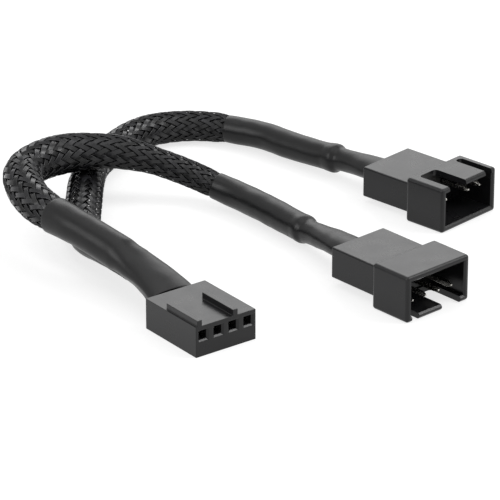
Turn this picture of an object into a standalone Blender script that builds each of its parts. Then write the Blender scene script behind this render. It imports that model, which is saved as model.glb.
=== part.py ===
"""Y splitter cable for four-pin computer fans.

One female crimp housing feeds a forked heat-shrink, out of which two braided
sleeves run to two shrouded male housings.  Branch A lies on top of branch B
where they leave the fork and where they cross, and every connector lies flat
on the ground plane z = 0.  Lengths are in metres.
"""

import math

import bmesh
import bpy
from mathutils import Matrix, Vector

MM = 0.001

# Contacts: four positions on the standard pitch, numbered from the left of travel
PITCH = 2.54 * MM
CONTACTS = (1, 2, 3, 4)
TACH_CONTACT = 3
PIN_WIDTH = 0.64 * MM

# Every housing has its contact row at local z = 0, its mating face at y = 0,
# and its keyed side up, so these heights are measured from the contact row
HOUSING_WIDTH = 4 * PITCH
CAVITY_WIDTH = 2.0 * MM
RECESS_WIDTH = 9.2 * MM

FEMALE_LENGTH = 11.8 * MM
FEMALE_BOTTOM = -3.1 * MM
FEMALE_TOP = 1.5 * MM
FEMALE_FRONT_WALL = 1.5 * MM
FEMALE_HOLE = 1.2 * MM
FEMALE_HOLE_LEAD = 0.3 * MM
FEMALE_CAVITY_LOW = -2.5 * MM
FEMALE_CAVITY_HIGH = 1.0 * MM
FEMALE_RECESS_START = 9.0 * MM
RIB_WIDTH = 0.8 * MM
RIB_HEIGHT = 0.9 * MM
RIB_LENGTH = 7.2 * MM
RIB_LEFT_EDGES = (-4.83 * MM, 1.22 * MM)

SHROUD_WIDTH = 12.2 * MM
SHROUD_LENGTH = 7.1 * MM
SHROUD_BOTTOM = -4.45 * MM
SHROUD_TOP = 2.53 * MM
SHROUD_SIDE_WALL = 0.95 * MM
SHROUD_FLAT_WALL = 0.9 * MM
SHROUD_DEPTH = 6.3 * MM
TONGUE_WALL = 0.9 * MM
TONGUE_LEFT = -0.75 * MM
TONGUE_RIGHT = 3.65 * MM
SLOT_LENGTH = 6.0 * MM
SLOT_CORNER = 0.6 * MM
WIDE_SLOT_LEFT = -4.45 * MM
NARROW_SLOT_RIGHT = 5.05 * MM
MALE_LENGTH = 16.4 * MM
MALE_BOTTOM = -3.49 * MM
MALE_TOP = 1.21 * MM
MALE_WEB_END = 7.8 * MM
MALE_CAVITY_LOW = -2.9 * MM
MALE_CAVITY_HIGH = 0.7 * MM
MALE_RECESS_START = 13.4 * MM
MALE_PIN_HOLE = 1.0 * MM

SHROUD_EDGE = 0.5 * MM
BODY_EDGE = 0.2 * MM
MOUTH_LEAD = 0.25 * MM
GAP = 0.3 * MM
OVERCUT = 1.0 * MM

# Sheet metal contacts
SHEET = 0.2 * MM
CONTACT_WIDTH = 1.6 * MM
FEMALE_BOX_START = 1.8 * MM
FEMALE_BOX_END = 6.0 * MM
FEMALE_BOX_LOW = -1.7 * MM
FEMALE_BOX_HIGH = 0.8 * MM
FEMALE_BOX_BORE = 1.0 * MM
FEMALE_CRIMP_END = 8.6 * MM
FEMALE_CRIMP_HIGH = 0.2 * MM
PIN_TIP = 1.2 * MM
PIN_TAPER = 0.7 * MM
PIN_TIP_WIDTH = 0.25 * MM
PIN_BODY_START = 8.1 * MM
PIN_BODY_END = 11.0 * MM
PIN_BODY_LOW = -1.5 * MM
PIN_BODY_HIGH = 0.45 * MM
PIN_CRIMP_END = 13.1 * MM
PIN_CRIMP_HIGH = -0.3 * MM

# Wires
WIRE_WIDTH = 0.8 * MM
FEMALE_ROW_PITCH = 1.2 * MM
MALE_ROW_PITCH = 1.05 * MM
WIRE_STACK = 1.0 * MM
WIRE_BUNDLE = 0.48 * MM
CRIMP_CLEARANCE = 0.1 * MM
WIRE_POINT_STEP = 3.2 * MM

# Sleeves and heat-shrinks
SLEEVE_WALL = 0.4 * MM
SLEEVE_POINT_STEP = 4.2 * MM
END_STEP = 0.8 * MM
SHRINK_WALL = 0.35 * MM
FORK_WALL = 0.4 * MM
RING_SIDES = 16
TUBE_RESOLUTION = 4
WIRE_RESOLUTION = 2

# Where each mating face stands on the ground, and its heading about +Z
FEMALE_PLACE = (-27.01, -26.24)
FEMALE_YAW = 0.0
MALE_A_PLACE = (3.73, -34.56)
MALE_A_YAW = math.radians(5.39)
MALE_B_PLACE = (27.11, -13.31)
MALE_B_YAW = math.radians(10.08)

# Centreline of each branch from the female housing to its male housing, in
# millimetres: first the stretch in the fork, then the sleeve, then the
# heat-shrink, which share their end points
FORK_ROUTE_A = [
    (-27.01, -14.14, 3.45),
    (-26.9, -10.2, 4.4),
    (-27.2, -5.8, 5.1),
    (-28.1, -1.6, 6.1),
    (-29.0, 2.8, 7.0),
    (-29.9, 7.4, 7.7),
    (-30.2, 11.6, 7.9),
]
SLEEVE_ROUTE_A = [
    (-29.9, 14.8, 7.95),
    (-28.75, 18.3, 8.0),
    (-27.4, 21.7, 8.0),
    (-26.0, 24.5, 8.0),
    (-24.1, 27.3, 8.0),
    (-21.5, 29.4, 8.0),
    (-18.3, 30.1, 8.0),
    (-15.3, 29.5, 8.0),
    (-12.4, 27.4, 8.0),
    (-9.4, 24.5, 7.6),
    (-6.4, 22.1, 6.5),
    (-3.0, 19.3, 4.7),
    (-0.3, 16.7, 3.2),
    (1.2, 14.3, 2.5),
]
SHRINK_ROUTE_A = [
    (2.5, 10.7, 2.2),
    (3.2, 5.4, 2.15),
    (3.4, -0.6, 2.25),
    (3.1, -6.6, 2.7),
    (2.6, -12.6, 3.35),
    (2.22, -17.93, 3.65),
]
FORK_ROUTE_B = [
    (-27.01, -14.14, 2.45),
    (-26.4, -10.2, 3.3),
    (-25.6, -5.8, 3.4),
    (-25.1, -1.6, 3.4),
    (-24.7, 2.8, 3.1),
    (-24.5, 7.0, 2.9),
    (-24.2, 11.0, 2.8),
]
SLEEVE_ROUTE_B = [
    (-22.9, 14.2, 2.7),
    (-21.2, 17.2, 2.6),
    (-19.2, 20.3, 2.6),
    (-16.95, 23.2, 2.6),
    (-14.6, 26.2, 2.6),
    (-12.0, 29.4, 2.6),
    (-9.4, 32.6, 2.6),
    (-6.3, 35.6, 2.55),
    (-2.8, 37.9, 2.5),
    (1.2, 39.1, 2.45),
    (5.3, 39.15, 2.4),
    (9.4, 38.2, 2.35),
    (13.0, 36.2, 2.3),
    (15.5, 33.8, 2.25),
]
SHRINK_ROUTE_B = [
    (17.4, 30.6, 2.2),
    (19.0, 26.4, 2.15),
    (20.3, 21.4, 2.15),
    (21.6, 15.9, 2.55),
    (22.85, 10.2, 2.9),
    (23.8, 5.4, 3.2),
    (24.19, 3.15, 3.3),
]

# Sleeve radius at the fork and at the male end
SLEEVE_A_RADII = (2.45 * MM, 1.95 * MM)
SLEEVE_B_RADII = (2.5 * MM, 1.95 * MM)

# Male heat-shrink sections: share of the length, half width, half height
SHRINK_SECTIONS = (
    (0.0, 2.0, 2.0),
    (0.03, 2.05, 2.05),
    (0.3, 2.0, 2.0),
    (0.56, 2.0, 2.0),
    (0.6, 2.12, 2.1),
    (0.635, 2.0, 1.95),
    (0.67, 1.8, 1.75),
    (0.8, 2.1, 1.7),
    (0.9, 2.5, 1.65),
    (1.0, 2.75, 1.6),
)

# Fork trunk sections: share of the way to the crotch, half width and half
# height of the outline round each branch
TRUNK_SECTIONS = (
    (0.0, 3.6, 1.1),
    (0.26, 3.3, 1.35),
    (0.55, 3.0, 1.9),
    (0.71, 2.75, 2.2),
    (0.77, 2.7, 2.45),
    (0.85, 2.6, 2.5),
    (1.0, 2.55, 2.5),
)
TRUNK_EXTRA_RINGS = (0.13, 0.4, 0.63, 0.92)
CROTCH_SHARE = 0.6
LOBE_RADIUS = 2.45 * MM
LIP_RADIUS = 2.72 * MM

# Each branch's round bundle: a wire's place across and above the centreline,
# in bundle steps, and the distances from the male end where the row forms
BUNDLE_A = {1: (-1, -1), 2: (-1, 1), 3: (1, 1), 4: (1, -1)}
BUNDLE_B = {1: (-1.1, -0.65), 2: (0.0, 1.25), 4: (1.1, -0.65)}
SPREAD_ZONE = (3.5 * MM, 9.0 * MM)
LEVEL_ZONE = (2.0 * MM, 6.0 * MM)


# Finishes: name, linear base colour, roughness and metallic
BLACK_NYLON = ("black_nylon", (0.022, 0.022, 0.024), 0.42, 0.0)
BLACK_HEAT_SHRINK = ("black_heat_shrink", (0.03, 0.03, 0.032), 0.45, 0.0)
BLACK_BRAID = ("black_braid", (0.02, 0.02, 0.022), 0.5, 0.0)
BLACK_INSULATION = ("black_insulation", (0.012, 0.012, 0.013), 0.5, 0.0)
TINNED_BRASS = ("tinned_brass", (0.75, 0.73, 0.68), 0.25, 1.0)


def clear_scene():
    """Remove whatever the open scene holds."""
    for obj in list(bpy.data.objects):
        bpy.data.objects.remove(obj, do_unlink=True)


def make_material(finish, piece):
    """Return a piece's own Principled material, from its finish."""
    kind, colour, roughness, metallic = finish
    material = bpy.data.materials.new(f"{kind}_{piece}")
    material.use_nodes = True
    shader = material.node_tree.nodes["Principled BSDF"]
    shader.inputs["Base Color"].default_value = (*colour, 1.0)
    shader.inputs["Roughness"].default_value = roughness
    shader.inputs["Metallic"].default_value = metallic
    return material


def link(name, data, parent=None):
    """Wrap data in an object of that name and put it in the scene."""
    obj = bpy.data.objects.new(name, data)
    bpy.context.scene.collection.objects.link(obj)
    obj.parent = parent
    return obj


def mesh_from(name, bm):
    """Turn a bmesh into a mesh with its faces pointing out."""
    bmesh.ops.recalc_face_normals(bm, faces=bm.faces)
    mesh = bpy.data.meshes.new(name)
    bm.to_mesh(mesh)
    bm.free()
    return mesh


def add_prism(bm, low, high, end_inset=0.0):
    """Add a box from low to high; end_inset narrows its face at the high y."""
    corners = []
    for y, inset in ((low[1], 0.0), (high[1], end_inset)):
        x0, x1 = low[0] + inset, high[0] - inset
        z0, z1 = low[2] + inset, high[2] - inset
        corners.append([bm.verts.new(p) for p in ((x0, y, z0), (x1, y, z0), (x1, y, z1), (x0, y, z1))])
    near, far = corners
    bm.faces.new(near)
    bm.faces.new(list(reversed(far)))
    for i in range(4):
        j = (i + 1) % 4
        bm.faces.new((near[j], near[i], far[i], far[j]))


def box_object(name, boxes, parent=None):
    """Return an object that holds one closed box for each (low, high) or (low, high, inset)."""
    bm = bmesh.new()
    for box in boxes:
        add_prism(bm, *box)
    return link(name, mesh_from(name, bm), parent)


def as_cutter(obj):
    """Mark an object as a tool that is not part of the model."""
    obj.hide_render = True
    obj.display_type = "WIRE"
    return obj


def add_boolean(target, tool, operation="DIFFERENCE"):
    """Join or cut a target with a tool, and leave the modifier on it."""
    modifier = target.modifiers.new(tool.name, "BOOLEAN")
    modifier.operation = operation
    modifier.solver = "EXACT"
    modifier.object = as_cutter(tool)


def add_bevel(obj, width, segments=1, angle=math.radians(60)):
    """Round or chamfer the edges of an object."""
    modifier = obj.modifiers.new("edges", "BEVEL")
    modifier.width = width
    modifier.segments = segments
    modifier.limit_method = "ANGLE"
    modifier.angle_limit = angle
    modifier.use_clamp_overlap = True


def connector_frame(name, place, yaw, lift, upside_down=False):
    """Return an empty at a housing's mating face, on its contact row."""
    empty = link(name, None)
    roll = Matrix.Rotation(math.pi if upside_down else 0.0, 4, "Y")
    turn = Matrix.Rotation(yaw, 4, "Z")
    empty.matrix_world = Matrix.Translation((place[0] * MM, place[1] * MM, lift)) @ turn @ roll
    return empty


def contact_x(contact):
    """Return a contact's place across its housing, contact 1 at the left."""
    return (contact - 2.5) * PITCH


def male_contact_x(contact):
    """Return the same for a male housing, which mates face to face."""
    return -contact_x(contact)


def build_female_housing(frame, finish):
    """Make the crimp housing: block, two guide ribs, holes, cavities and wire entry."""
    half = HOUSING_WIDTH / 2
    block = box_object("female_housing", [((-half, 0, FEMALE_BOTTOM), (half, FEMALE_LENGTH, FEMALE_TOP))], frame)
    block.data.materials.append(make_material(finish, block.name))
    add_bevel(block, BODY_EDGE)
    ribs = []
    for left in RIB_LEFT_EDGES:
        low = (left, 0, FEMALE_TOP - OVERCUT)
        high = (left + RIB_WIDTH, RIB_LENGTH, FEMALE_TOP + RIB_HEIGHT)
        ribs.append((low, high))
    rib_tool = box_object("female_ribs", ribs, frame)
    add_bevel(rib_tool, 0.08 * MM)
    add_boolean(block, rib_tool, "UNION")
    holes, leads, cavities = [], [], []
    for contact in CONTACTS:
        x = contact_x(contact)
        r = FEMALE_HOLE / 2
        holes.append(((x - r, -OVERCUT, -r), (x + r, FEMALE_FRONT_WALL + OVERCUT / 4, r)))
        wide = r + 2 * FEMALE_HOLE_LEAD
        leads.append(((x - wide, -FEMALE_HOLE_LEAD, -wide), (x + wide, 2 * FEMALE_HOLE_LEAD, wide), 3 * FEMALE_HOLE_LEAD))
        low = (x - CAVITY_WIDTH / 2, FEMALE_FRONT_WALL, FEMALE_CAVITY_LOW)
        high = (x + CAVITY_WIDTH / 2, FEMALE_RECESS_START + OVERCUT / 4, FEMALE_CAVITY_HIGH)
        cavities.append((low, high))
    entry_low = (-RECESS_WIDTH / 2, FEMALE_RECESS_START, FEMALE_CAVITY_LOW)
    entry_high = (RECESS_WIDTH / 2, FEMALE_LENGTH + OVERCUT, FEMALE_CAVITY_HIGH)
    add_boolean(block, box_object("female_hole_leads", leads, frame))
    add_boolean(block, box_object("female_holes", holes, frame))
    add_boolean(block, box_object("female_cavities", cavities, frame))
    add_boolean(block, box_object("female_wire_entry", [(entry_low, entry_high)], frame))
    return block


def build_male_housing(name, frame, finish):
    """Make the shrouded housing: rear body, shroud with a keying tongue, web and cavities."""
    half = SHROUD_WIDTH / 2
    shroud = box_object(name, [((-half, 0, SHROUD_BOTTOM), (half, SHROUD_LENGTH, SHROUD_TOP))], frame)
    shroud.data.materials.append(make_material(finish, name))
    add_bevel(shroud, SHROUD_EDGE, 2)
    body_half = HOUSING_WIDTH / 2
    body_low = (-body_half, SHROUD_LENGTH - 2 * OVERCUT, MALE_BOTTOM)
    body = box_object(name + "_body", [(body_low, (body_half, MALE_LENGTH, MALE_TOP))], frame)
    add_bevel(body, BODY_EDGE)
    add_boolean(shroud, body, "UNION")

    inner_half = half - SHROUD_SIDE_WALL
    inner_low = SHROUD_BOTTOM + SHROUD_FLAT_WALL
    inner_high = SHROUD_TOP - TONGUE_WALL
    mouth = box_object(
        name + "_mouth", [((-inner_half, -OVERCUT, inner_low), (inner_half, SHROUD_DEPTH, inner_high))], frame
    )
    add_boolean(shroud, mouth)
    lead = MOUTH_LEAD
    lead_low = (-inner_half - 2 * lead, -lead, inner_low - 2 * lead)
    lead_high = (inner_half + 2 * lead, 2 * lead, inner_high + 2 * lead)
    add_boolean(shroud, box_object(name + "_mouth_lead", [(lead_low, lead_high, 3 * lead)], frame))
    slots = box_object(
        name + "_slots",
        [
            ((WIDE_SLOT_LEFT, -OVERCUT, inner_high - OVERCUT), (TONGUE_LEFT, SLOT_LENGTH, SHROUD_TOP + OVERCUT)),
            ((TONGUE_RIGHT, -OVERCUT, inner_high - OVERCUT), (NARROW_SLOT_RIGHT, SLOT_LENGTH, SHROUD_TOP + OVERCUT)),
        ],
        frame,
    )
    add_bevel(slots, SLOT_CORNER, 2)
    add_boolean(shroud, slots)

    pin_holes, cavities = [], []
    for contact in CONTACTS:
        x = male_contact_x(contact)
        r = MALE_PIN_HOLE / 2
        pin_holes.append(((x - r, SHROUD_DEPTH - OVERCUT / 4, -r), (x + r, MALE_WEB_END + OVERCUT / 4, r)))
        low = (x - CAVITY_WIDTH / 2, MALE_WEB_END, MALE_CAVITY_LOW)
        high = (x + CAVITY_WIDTH / 2, MALE_RECESS_START + OVERCUT / 4, MALE_CAVITY_HIGH)
        cavities.append((low, high))
    entry_low = (-RECESS_WIDTH / 2, MALE_RECESS_START, MALE_CAVITY_LOW)
    entry_high = (RECESS_WIDTH / 2, MALE_LENGTH + OVERCUT, MALE_CAVITY_HIGH)
    add_boolean(shroud, box_object(name + "_cavities", cavities, frame))
    add_boolean(shroud, box_object(name + "_pin_holes", pin_holes, frame))
    add_boolean(shroud, box_object(name + "_wire_entry", [(entry_low, entry_high)], frame))
    return shroud


def add_crimp(bm, x, start, end, low, high):
    """Add an open channel of folded sheet, which holds the end of a wire."""
    outer = CONTACT_WIDTH / 2
    inner = outer - SHEET
    profile = [
        (x - outer, low),
        (x + outer, low),
        (x + outer, high),
        (x + inner, high),
        (x + inner, low + SHEET),
        (x - inner, low + SHEET),
        (x - inner, high),
        (x - outer, high),
    ]
    near = [bm.verts.new((px, start, pz)) for px, pz in profile]
    far = [bm.verts.new((px, end, pz)) for px, pz in profile]
    bm.faces.new(near)
    bm.faces.new(list(reversed(far)))
    for i in range(len(profile)):
        j = (i + 1) % len(profile)
        bm.faces.new((near[j], near[i], far[i], far[j]))


def build_female_terminal(name, frame, x, finish):
    """Make a socket contact: a box with a bore for the pin, and a wire crimp."""
    half = CONTACT_WIDTH / 2
    box_low = (x - half, FEMALE_BOX_START, FEMALE_BOX_LOW)
    terminal = box_object(name, [(box_low, (x + half, FEMALE_BOX_END, FEMALE_BOX_HIGH))], frame)
    terminal.data.materials.append(make_material(finish, name))
    bm = bmesh.new()
    add_crimp(bm, x, FEMALE_BOX_END - SHEET, FEMALE_CRIMP_END, FEMALE_BOX_LOW, FEMALE_CRIMP_HIGH)
    crimp = link(name + "_crimp", mesh_from(name + "_crimp", bm), frame)
    add_boolean(terminal, crimp, "UNION")
    r = FEMALE_BOX_BORE / 2
    bore_low = (x - r, FEMALE_BOX_START - OVERCUT, -r)
    bore_high = (x + r, FEMALE_BOX_END - 2 * SHEET, r)
    add_boolean(terminal, box_object(name + "_bore", [(bore_low, bore_high)], frame))
    return terminal


def build_male_pin(name, frame, x, finish):
    """Make a pin contact: a square pin with a tapered tip, a body and a wire crimp."""
    half = CONTACT_WIDTH / 2
    body_low = (x - half, PIN_BODY_START, PIN_BODY_LOW)
    contact = box_object(name, [(body_low, (x + half, PIN_BODY_END, PIN_BODY_HIGH))], frame)
    contact.data.materials.append(make_material(finish, name))
    r = PIN_WIDTH / 2
    tip = PIN_TIP_WIDTH / 2
    bm = bmesh.new()
    rings = []
    for y, s in ((PIN_TIP, tip), (PIN_TIP + PIN_TAPER, r), (PIN_BODY_START + SHEET, r)):
        rings.append([bm.verts.new(p) for p in ((x - s, y, -s), (x + s, y, -s), (x + s, y, s), (x - s, y, s))])
    bm.faces.new(rings[0])
    bm.faces.new(list(reversed(rings[-1])))
    for near, far in zip(rings, rings[1:]):
        for i in range(4):
            j = (i + 1) % 4
            bm.faces.new((near[j], near[i], far[i], far[j]))
    pin = link(name + "_pin", mesh_from(name + "_pin", bm), frame)
    add_boolean(contact, pin, "UNION")
    bm = bmesh.new()
    add_crimp(bm, x, PIN_BODY_END - SHEET, PIN_CRIMP_END, PIN_BODY_LOW, PIN_CRIMP_HIGH)
    crimp = link(name + "_crimp", mesh_from(name + "_crimp", bm), frame)
    add_boolean(contact, crimp, "UNION")
    return contact


def curve_point(p0, p1, p2, p3, t):
    """Return a point on a centripetal Catmull-Rom span from p1 to p2."""
    knots = [0.0]
    for a, b in ((p0, p1), (p1, p2), (p2, p3)):
        knots.append(knots[-1] + math.sqrt((b - a).length))
    t0, t1, t2, t3 = knots
    u = t1 + (t2 - t1) * t
    a1 = p0 * ((t1 - u) / (t1 - t0)) + p1 * ((u - t0) / (t1 - t0))
    a2 = p1 * ((t2 - u) / (t2 - t1)) + p2 * ((u - t1) / (t2 - t1))
    a3 = p2 * ((t3 - u) / (t3 - t2)) + p3 * ((u - t2) / (t3 - t2))
    b1 = a1 * ((t2 - u) / (t2 - t0)) + a2 * ((u - t0) / (t2 - t0))
    b2 = a2 * ((t3 - u) / (t3 - t1)) + a3 * ((u - t1) / (t3 - t1))
    return b1 * ((t2 - u) / (t2 - t1)) + b2 * ((u - t1) / (t2 - t1))


class Route:
    """A smooth line through hand-set points, read by distance along it."""

    SPAN_STEPS = 16

    def __init__(self, points_mm):
        points = [Vector(p) * MM for p in points_mm]
        padded = [2 * points[0] - points[1], *points, 2 * points[-1] - points[-2]]
        self.line = [points[0]]
        for i in range(len(points) - 1):
            for k in range(1, self.SPAN_STEPS + 1):
                self.line.append(curve_point(*padded[i : i + 4], k / self.SPAN_STEPS))
        self.along = [0.0]
        for a, b in zip(self.line, self.line[1:]):
            self.along.append(self.along[-1] + (b - a).length)
        self.length = self.along[-1]

    def distance_of(self, point_mm):
        """Return how far along the line a hand-set point lies."""
        target = Vector(point_mm) * MM
        nearest = min(range(len(self.line)), key=lambda i: (self.line[i] - target).length)
        return self.along[nearest]

    def at(self, distance):
        """Return the point and the tangent at a distance along the line."""
        distance = min(max(distance, 0.0), self.length)
        i = 0
        while i < len(self.along) - 2 and self.along[i + 1] < distance:
            i += 1
        span = self.along[i + 1] - self.along[i]
        share = (distance - self.along[i]) / span
        before = self.line[max(i - 1, 0)]
        after = self.line[min(i + 2, len(self.line) - 1)]
        return self.line[i].lerp(self.line[i + 1], share), (after - before).normalized()

    def frame(self, distance):
        """Return point, tangent, level side (right of travel) and up."""
        point, tangent = self.at(distance)
        side = tangent.cross(Vector((0, 0, 1))).normalized()
        return point, tangent, side, side.cross(tangent)


def ease(value, start, end):
    """Return 0 before start, 1 after end, and a smooth step between."""
    t = min(max((value - start) / (end - start), 0.0), 1.0)
    return t * t * (3 - 2 * t)


def read_table(table, share):
    """Read the width and the height at a share of the length from a section table."""
    for (s0, w0, h0), (s1, w1, h1) in zip(table, table[1:]):
        if share <= s1:
            t = (share - s0) / (s1 - s0)
            return (w0 + (w1 - w0) * t) * MM, (h0 + (h1 - h0) * t) * MM
    return table[-1][1] * MM, table[-1][2] * MM


def bridge(bm, near, far):
    """Join two closed rings of the same size with quads."""
    for i in range(len(near)):
        j = (i + 1) % len(near)
        bm.faces.new((near[j], near[i], far[i], far[j]))


def add_solidify(obj, wall):
    """Give a tube's skin its wall, inwards."""
    modifier = obj.modifiers.new("wall", "SOLIDIFY")
    modifier.thickness = wall
    modifier.offset = -1.0


def smooth_tube(obj):
    """Shade a round piece smooth."""
    obj.data.shade_smooth()
    obj.data.set_sharp_from_angle(angle=math.radians(50))


def build_male_shrink(name, route, start, end, finish):
    """Make a male end's heat-shrink: round over the braid, a step, then flat at the housing."""
    bm = bmesh.new()
    rings = []
    shares = sorted({s for s, _, _ in SHRINK_SECTIONS} | {0.1, 0.2, 0.4, 0.5, 0.74, 0.86})
    for share in shares:
        half_width, half_height = read_table(SHRINK_SECTIONS, share)
        point, _, side, up = route.frame(start + (end - start) * share)
        ring = []
        for k in range(RING_SIDES):
            angle = 2 * math.pi * (k + 0.5) / RING_SIDES
            ring.append(bm.verts.new(point + side * half_width * math.cos(angle) + up * half_height * math.sin(angle)))
        rings.append(ring)
    for near, far in zip(rings, rings[1:]):
        bridge(bm, near, far)
    shrink = link(name, mesh_from(name, bm))
    shrink.data.materials.append(make_material(finish, name))
    smooth_tube(shrink)
    add_solidify(shrink, SHRINK_WALL)
    return shrink


def build_fork(name, route_a, route_b, lip_a, lip_b, finish):
    """Make the forked heat-shrink: a flat trunk that opens into two round lobes."""
    bm = bmesh.new()
    half_ring = RING_SIDES // 2
    crotch_a = lip_a * CROTCH_SHARE
    crotch_b = lip_b * CROTCH_SHARE
    trunk = []
    for share in sorted({s for s, _, _ in TRUNK_SECTIONS} | set(TRUNK_EXTRA_RINGS)):
        half_width, half_height = read_table(TRUNK_SECTIONS, share)
        centre_a, _, side_a, up_a = route_a.frame(GAP + (crotch_a - GAP) * share)
        centre_b, _, side_b, up_b = route_b.frame(GAP + (crotch_b - GAP) * share)
        apart = centre_a - centre_b
        side = (side_a + side_b).normalized()
        up = (up_a + up_b).normalized()
        heading = math.atan2(apart.dot(up) / half_height, apart.dot(side) / half_width)
        ring = []
        for k in range(RING_SIDES):
            angle = heading - math.pi / 2 + math.pi * (k + 0.5) / half_ring
            centre = centre_a if k < half_ring else centre_b
            offset = side * half_width * math.cos(angle) + up * half_height * math.sin(angle)
            ring.append(bm.verts.new(centre + offset))
        trunk.append(ring)
    for near, far in zip(trunk, trunk[1:]):
        bridge(bm, near, far)
    inner = []
    for first, centre in ((half_ring, centre_a), (0, centre_b)):
        arc = []
        for k in range(first, first + half_ring):
            angle = heading - math.pi / 2 + math.pi * (k + 0.5) / half_ring
            offset = side * half_width * math.cos(angle) + up * half_height * math.sin(angle)
            arc.append(bm.verts.new(centre + offset))
        inner.append(arc)
    arc_a, arc_b = inner
    ring_a = trunk[-1][:half_ring] + arc_a
    ring_b = arc_b + trunk[-1][half_ring:]
    facing_a = arc_a
    facing_b = list(reversed(arc_b))
    bm.faces.new((trunk[-1][half_ring - 1], facing_a[0], facing_b[0], trunk[-1][half_ring]))
    for i in range(half_ring - 1):
        bm.faces.new((facing_a[i], facing_a[i + 1], facing_b[i + 1], facing_b[i]))
    bm.faces.new((facing_a[-1], trunk[-1][0], trunk[-1][-1], facing_b[-1]))
    for ring, route, crotch, lip in ((ring_a, route_a, crotch_a, lip_a), (ring_b, route_b, crotch_b, lip_b)):
        near = ring
        for share, radius in ((0.25, LOBE_RADIUS), (0.5, LOBE_RADIUS), (0.75, LIP_RADIUS), (1.0, LIP_RADIUS)):
            point, _, side, up = route.frame(crotch + (lip - crotch) * share)
            far = []
            for k in range(RING_SIDES):
                angle = heading - math.pi / 2 + math.pi * (k + 0.5) / half_ring
                far.append(bm.verts.new(point + (side * math.cos(angle) + up * math.sin(angle)) * radius))
            bridge(bm, near, far)
            near = far
    fork = link(name, mesh_from(name, bm))
    fork.data.materials.append(make_material(finish, name))
    smooth_tube(fork)
    add_solidify(fork, FORK_WALL)
    return fork


def curve_object(name, points, radii, resolution, finish, filled):
    """Return a round curve object along points, with a radius at each."""
    curve = bpy.data.curves.new(name, "CURVE")
    curve.dimensions = "3D"
    curve.bevel_depth = 1.0
    curve.bevel_resolution = resolution
    curve.use_fill_caps = filled
    spline = curve.splines.new("POLY")
    spline.points.add(len(points) - 1)
    for target, point, radius in zip(spline.points, points, radii):
        target.co = (*point, 1.0)
        target.radius = radius
    spline.use_smooth = True
    curve.materials.append(make_material(finish, name))
    return link(name, curve)


def build_sleeve(name, route, start, end, radii, finish):
    """Make a braided sleeve's plain tube, open at both ends."""
    count = round((end - start) / SLEEVE_POINT_STEP)
    spaced = [start + (end - start) * i / count for i in range(count + 1)]
    distances = [start, start + END_STEP, *spaced[1:-1], end - END_STEP, end]
    points, widths = [], []
    for distance in distances:
        share = (distance - start) / (end - start)
        points.append(route.at(distance)[0])
        widths.append(radii[0] + (radii[1] - radii[0]) * ease(share, 0.35, 1.0))
    sleeve = curve_object(name, points, widths, TUBE_RESOLUTION, finish, False)
    add_solidify(sleeve, SLEEVE_WALL)
    return sleeve


class WirePlan:
    """How the wires of one branch lie: a flat row at each housing, a round bundle between.

    The first fold brings the row to the bundle's height and then together, and
    the spread undoes it in the opposite order.
    """

    def __init__(self, route, bundle, female, male, lift_zone, gather_zone, turn):
        self.route = route
        self.bundle = bundle
        self.female = female
        self.male = male
        self.lift_zone = lift_zone
        self.gather_zone = gather_zone
        self.turn = turn

    def offset(self, contact, distance):
        """Return a wire's place to the right of and above the branch's centreline."""
        left = self.route.length - distance
        lift = ease(distance, *self.lift_zone) * ease(left, *LEVEL_ZONE)
        gather_in = ease(distance, *self.gather_zone)
        gather_out = ease(left, *SPREAD_ZONE)
        angle = self.turn * ease(distance, self.gather_zone[1], self.route.length - SPREAD_ZONE[1])
        across, above = (value * WIRE_BUNDLE for value in self.bundle[contact])
        bundled_x = across * math.cos(angle) - above * math.sin(angle)
        bundled_z = across * math.sin(angle) + above * math.cos(angle)
        rank = contact - 2.5
        first_row = rank * FEMALE_ROW_PITCH * (1 - gather_in)
        last_row = rank * MALE_ROW_PITCH * (1 - gather_out) * (-1 if self.turn else 1)
        return bundled_x * gather_in * gather_out + first_row + last_row, bundled_z * lift


def build_wire(name, contact, plan, socket_z, pin_z, finish):
    """Run one wire from its socket crimp through fork, sleeve and heat-shrink to its pin crimp."""
    x = contact_x(contact)
    points = []
    for y in (FEMALE_BOX_END + GAP, FEMALE_CRIMP_END, FEMALE_CRIMP_END + GAP):
        points.append(plan.female.matrix_world @ Vector((x, y, socket_z)))
    start, end = GAP, plan.route.length - GAP
    count = round((end - start) / WIRE_POINT_STEP)
    for i in range(count + 1):
        distance = start + (end - start) * i / count
        point, _, side, up = plan.route.frame(distance)
        across, above = plan.offset(contact, distance)
        points.append(point + side * across + up * above)
    x = male_contact_x(contact)
    for y in (PIN_CRIMP_END + GAP, PIN_CRIMP_END, PIN_BODY_END + GAP):
        points.append(plan.male.matrix_world @ Vector((x, y, pin_z)))
    return curve_object(name, points, [WIRE_WIDTH / 2] * len(points), WIRE_RESOLUTION, finish, True)


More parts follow.
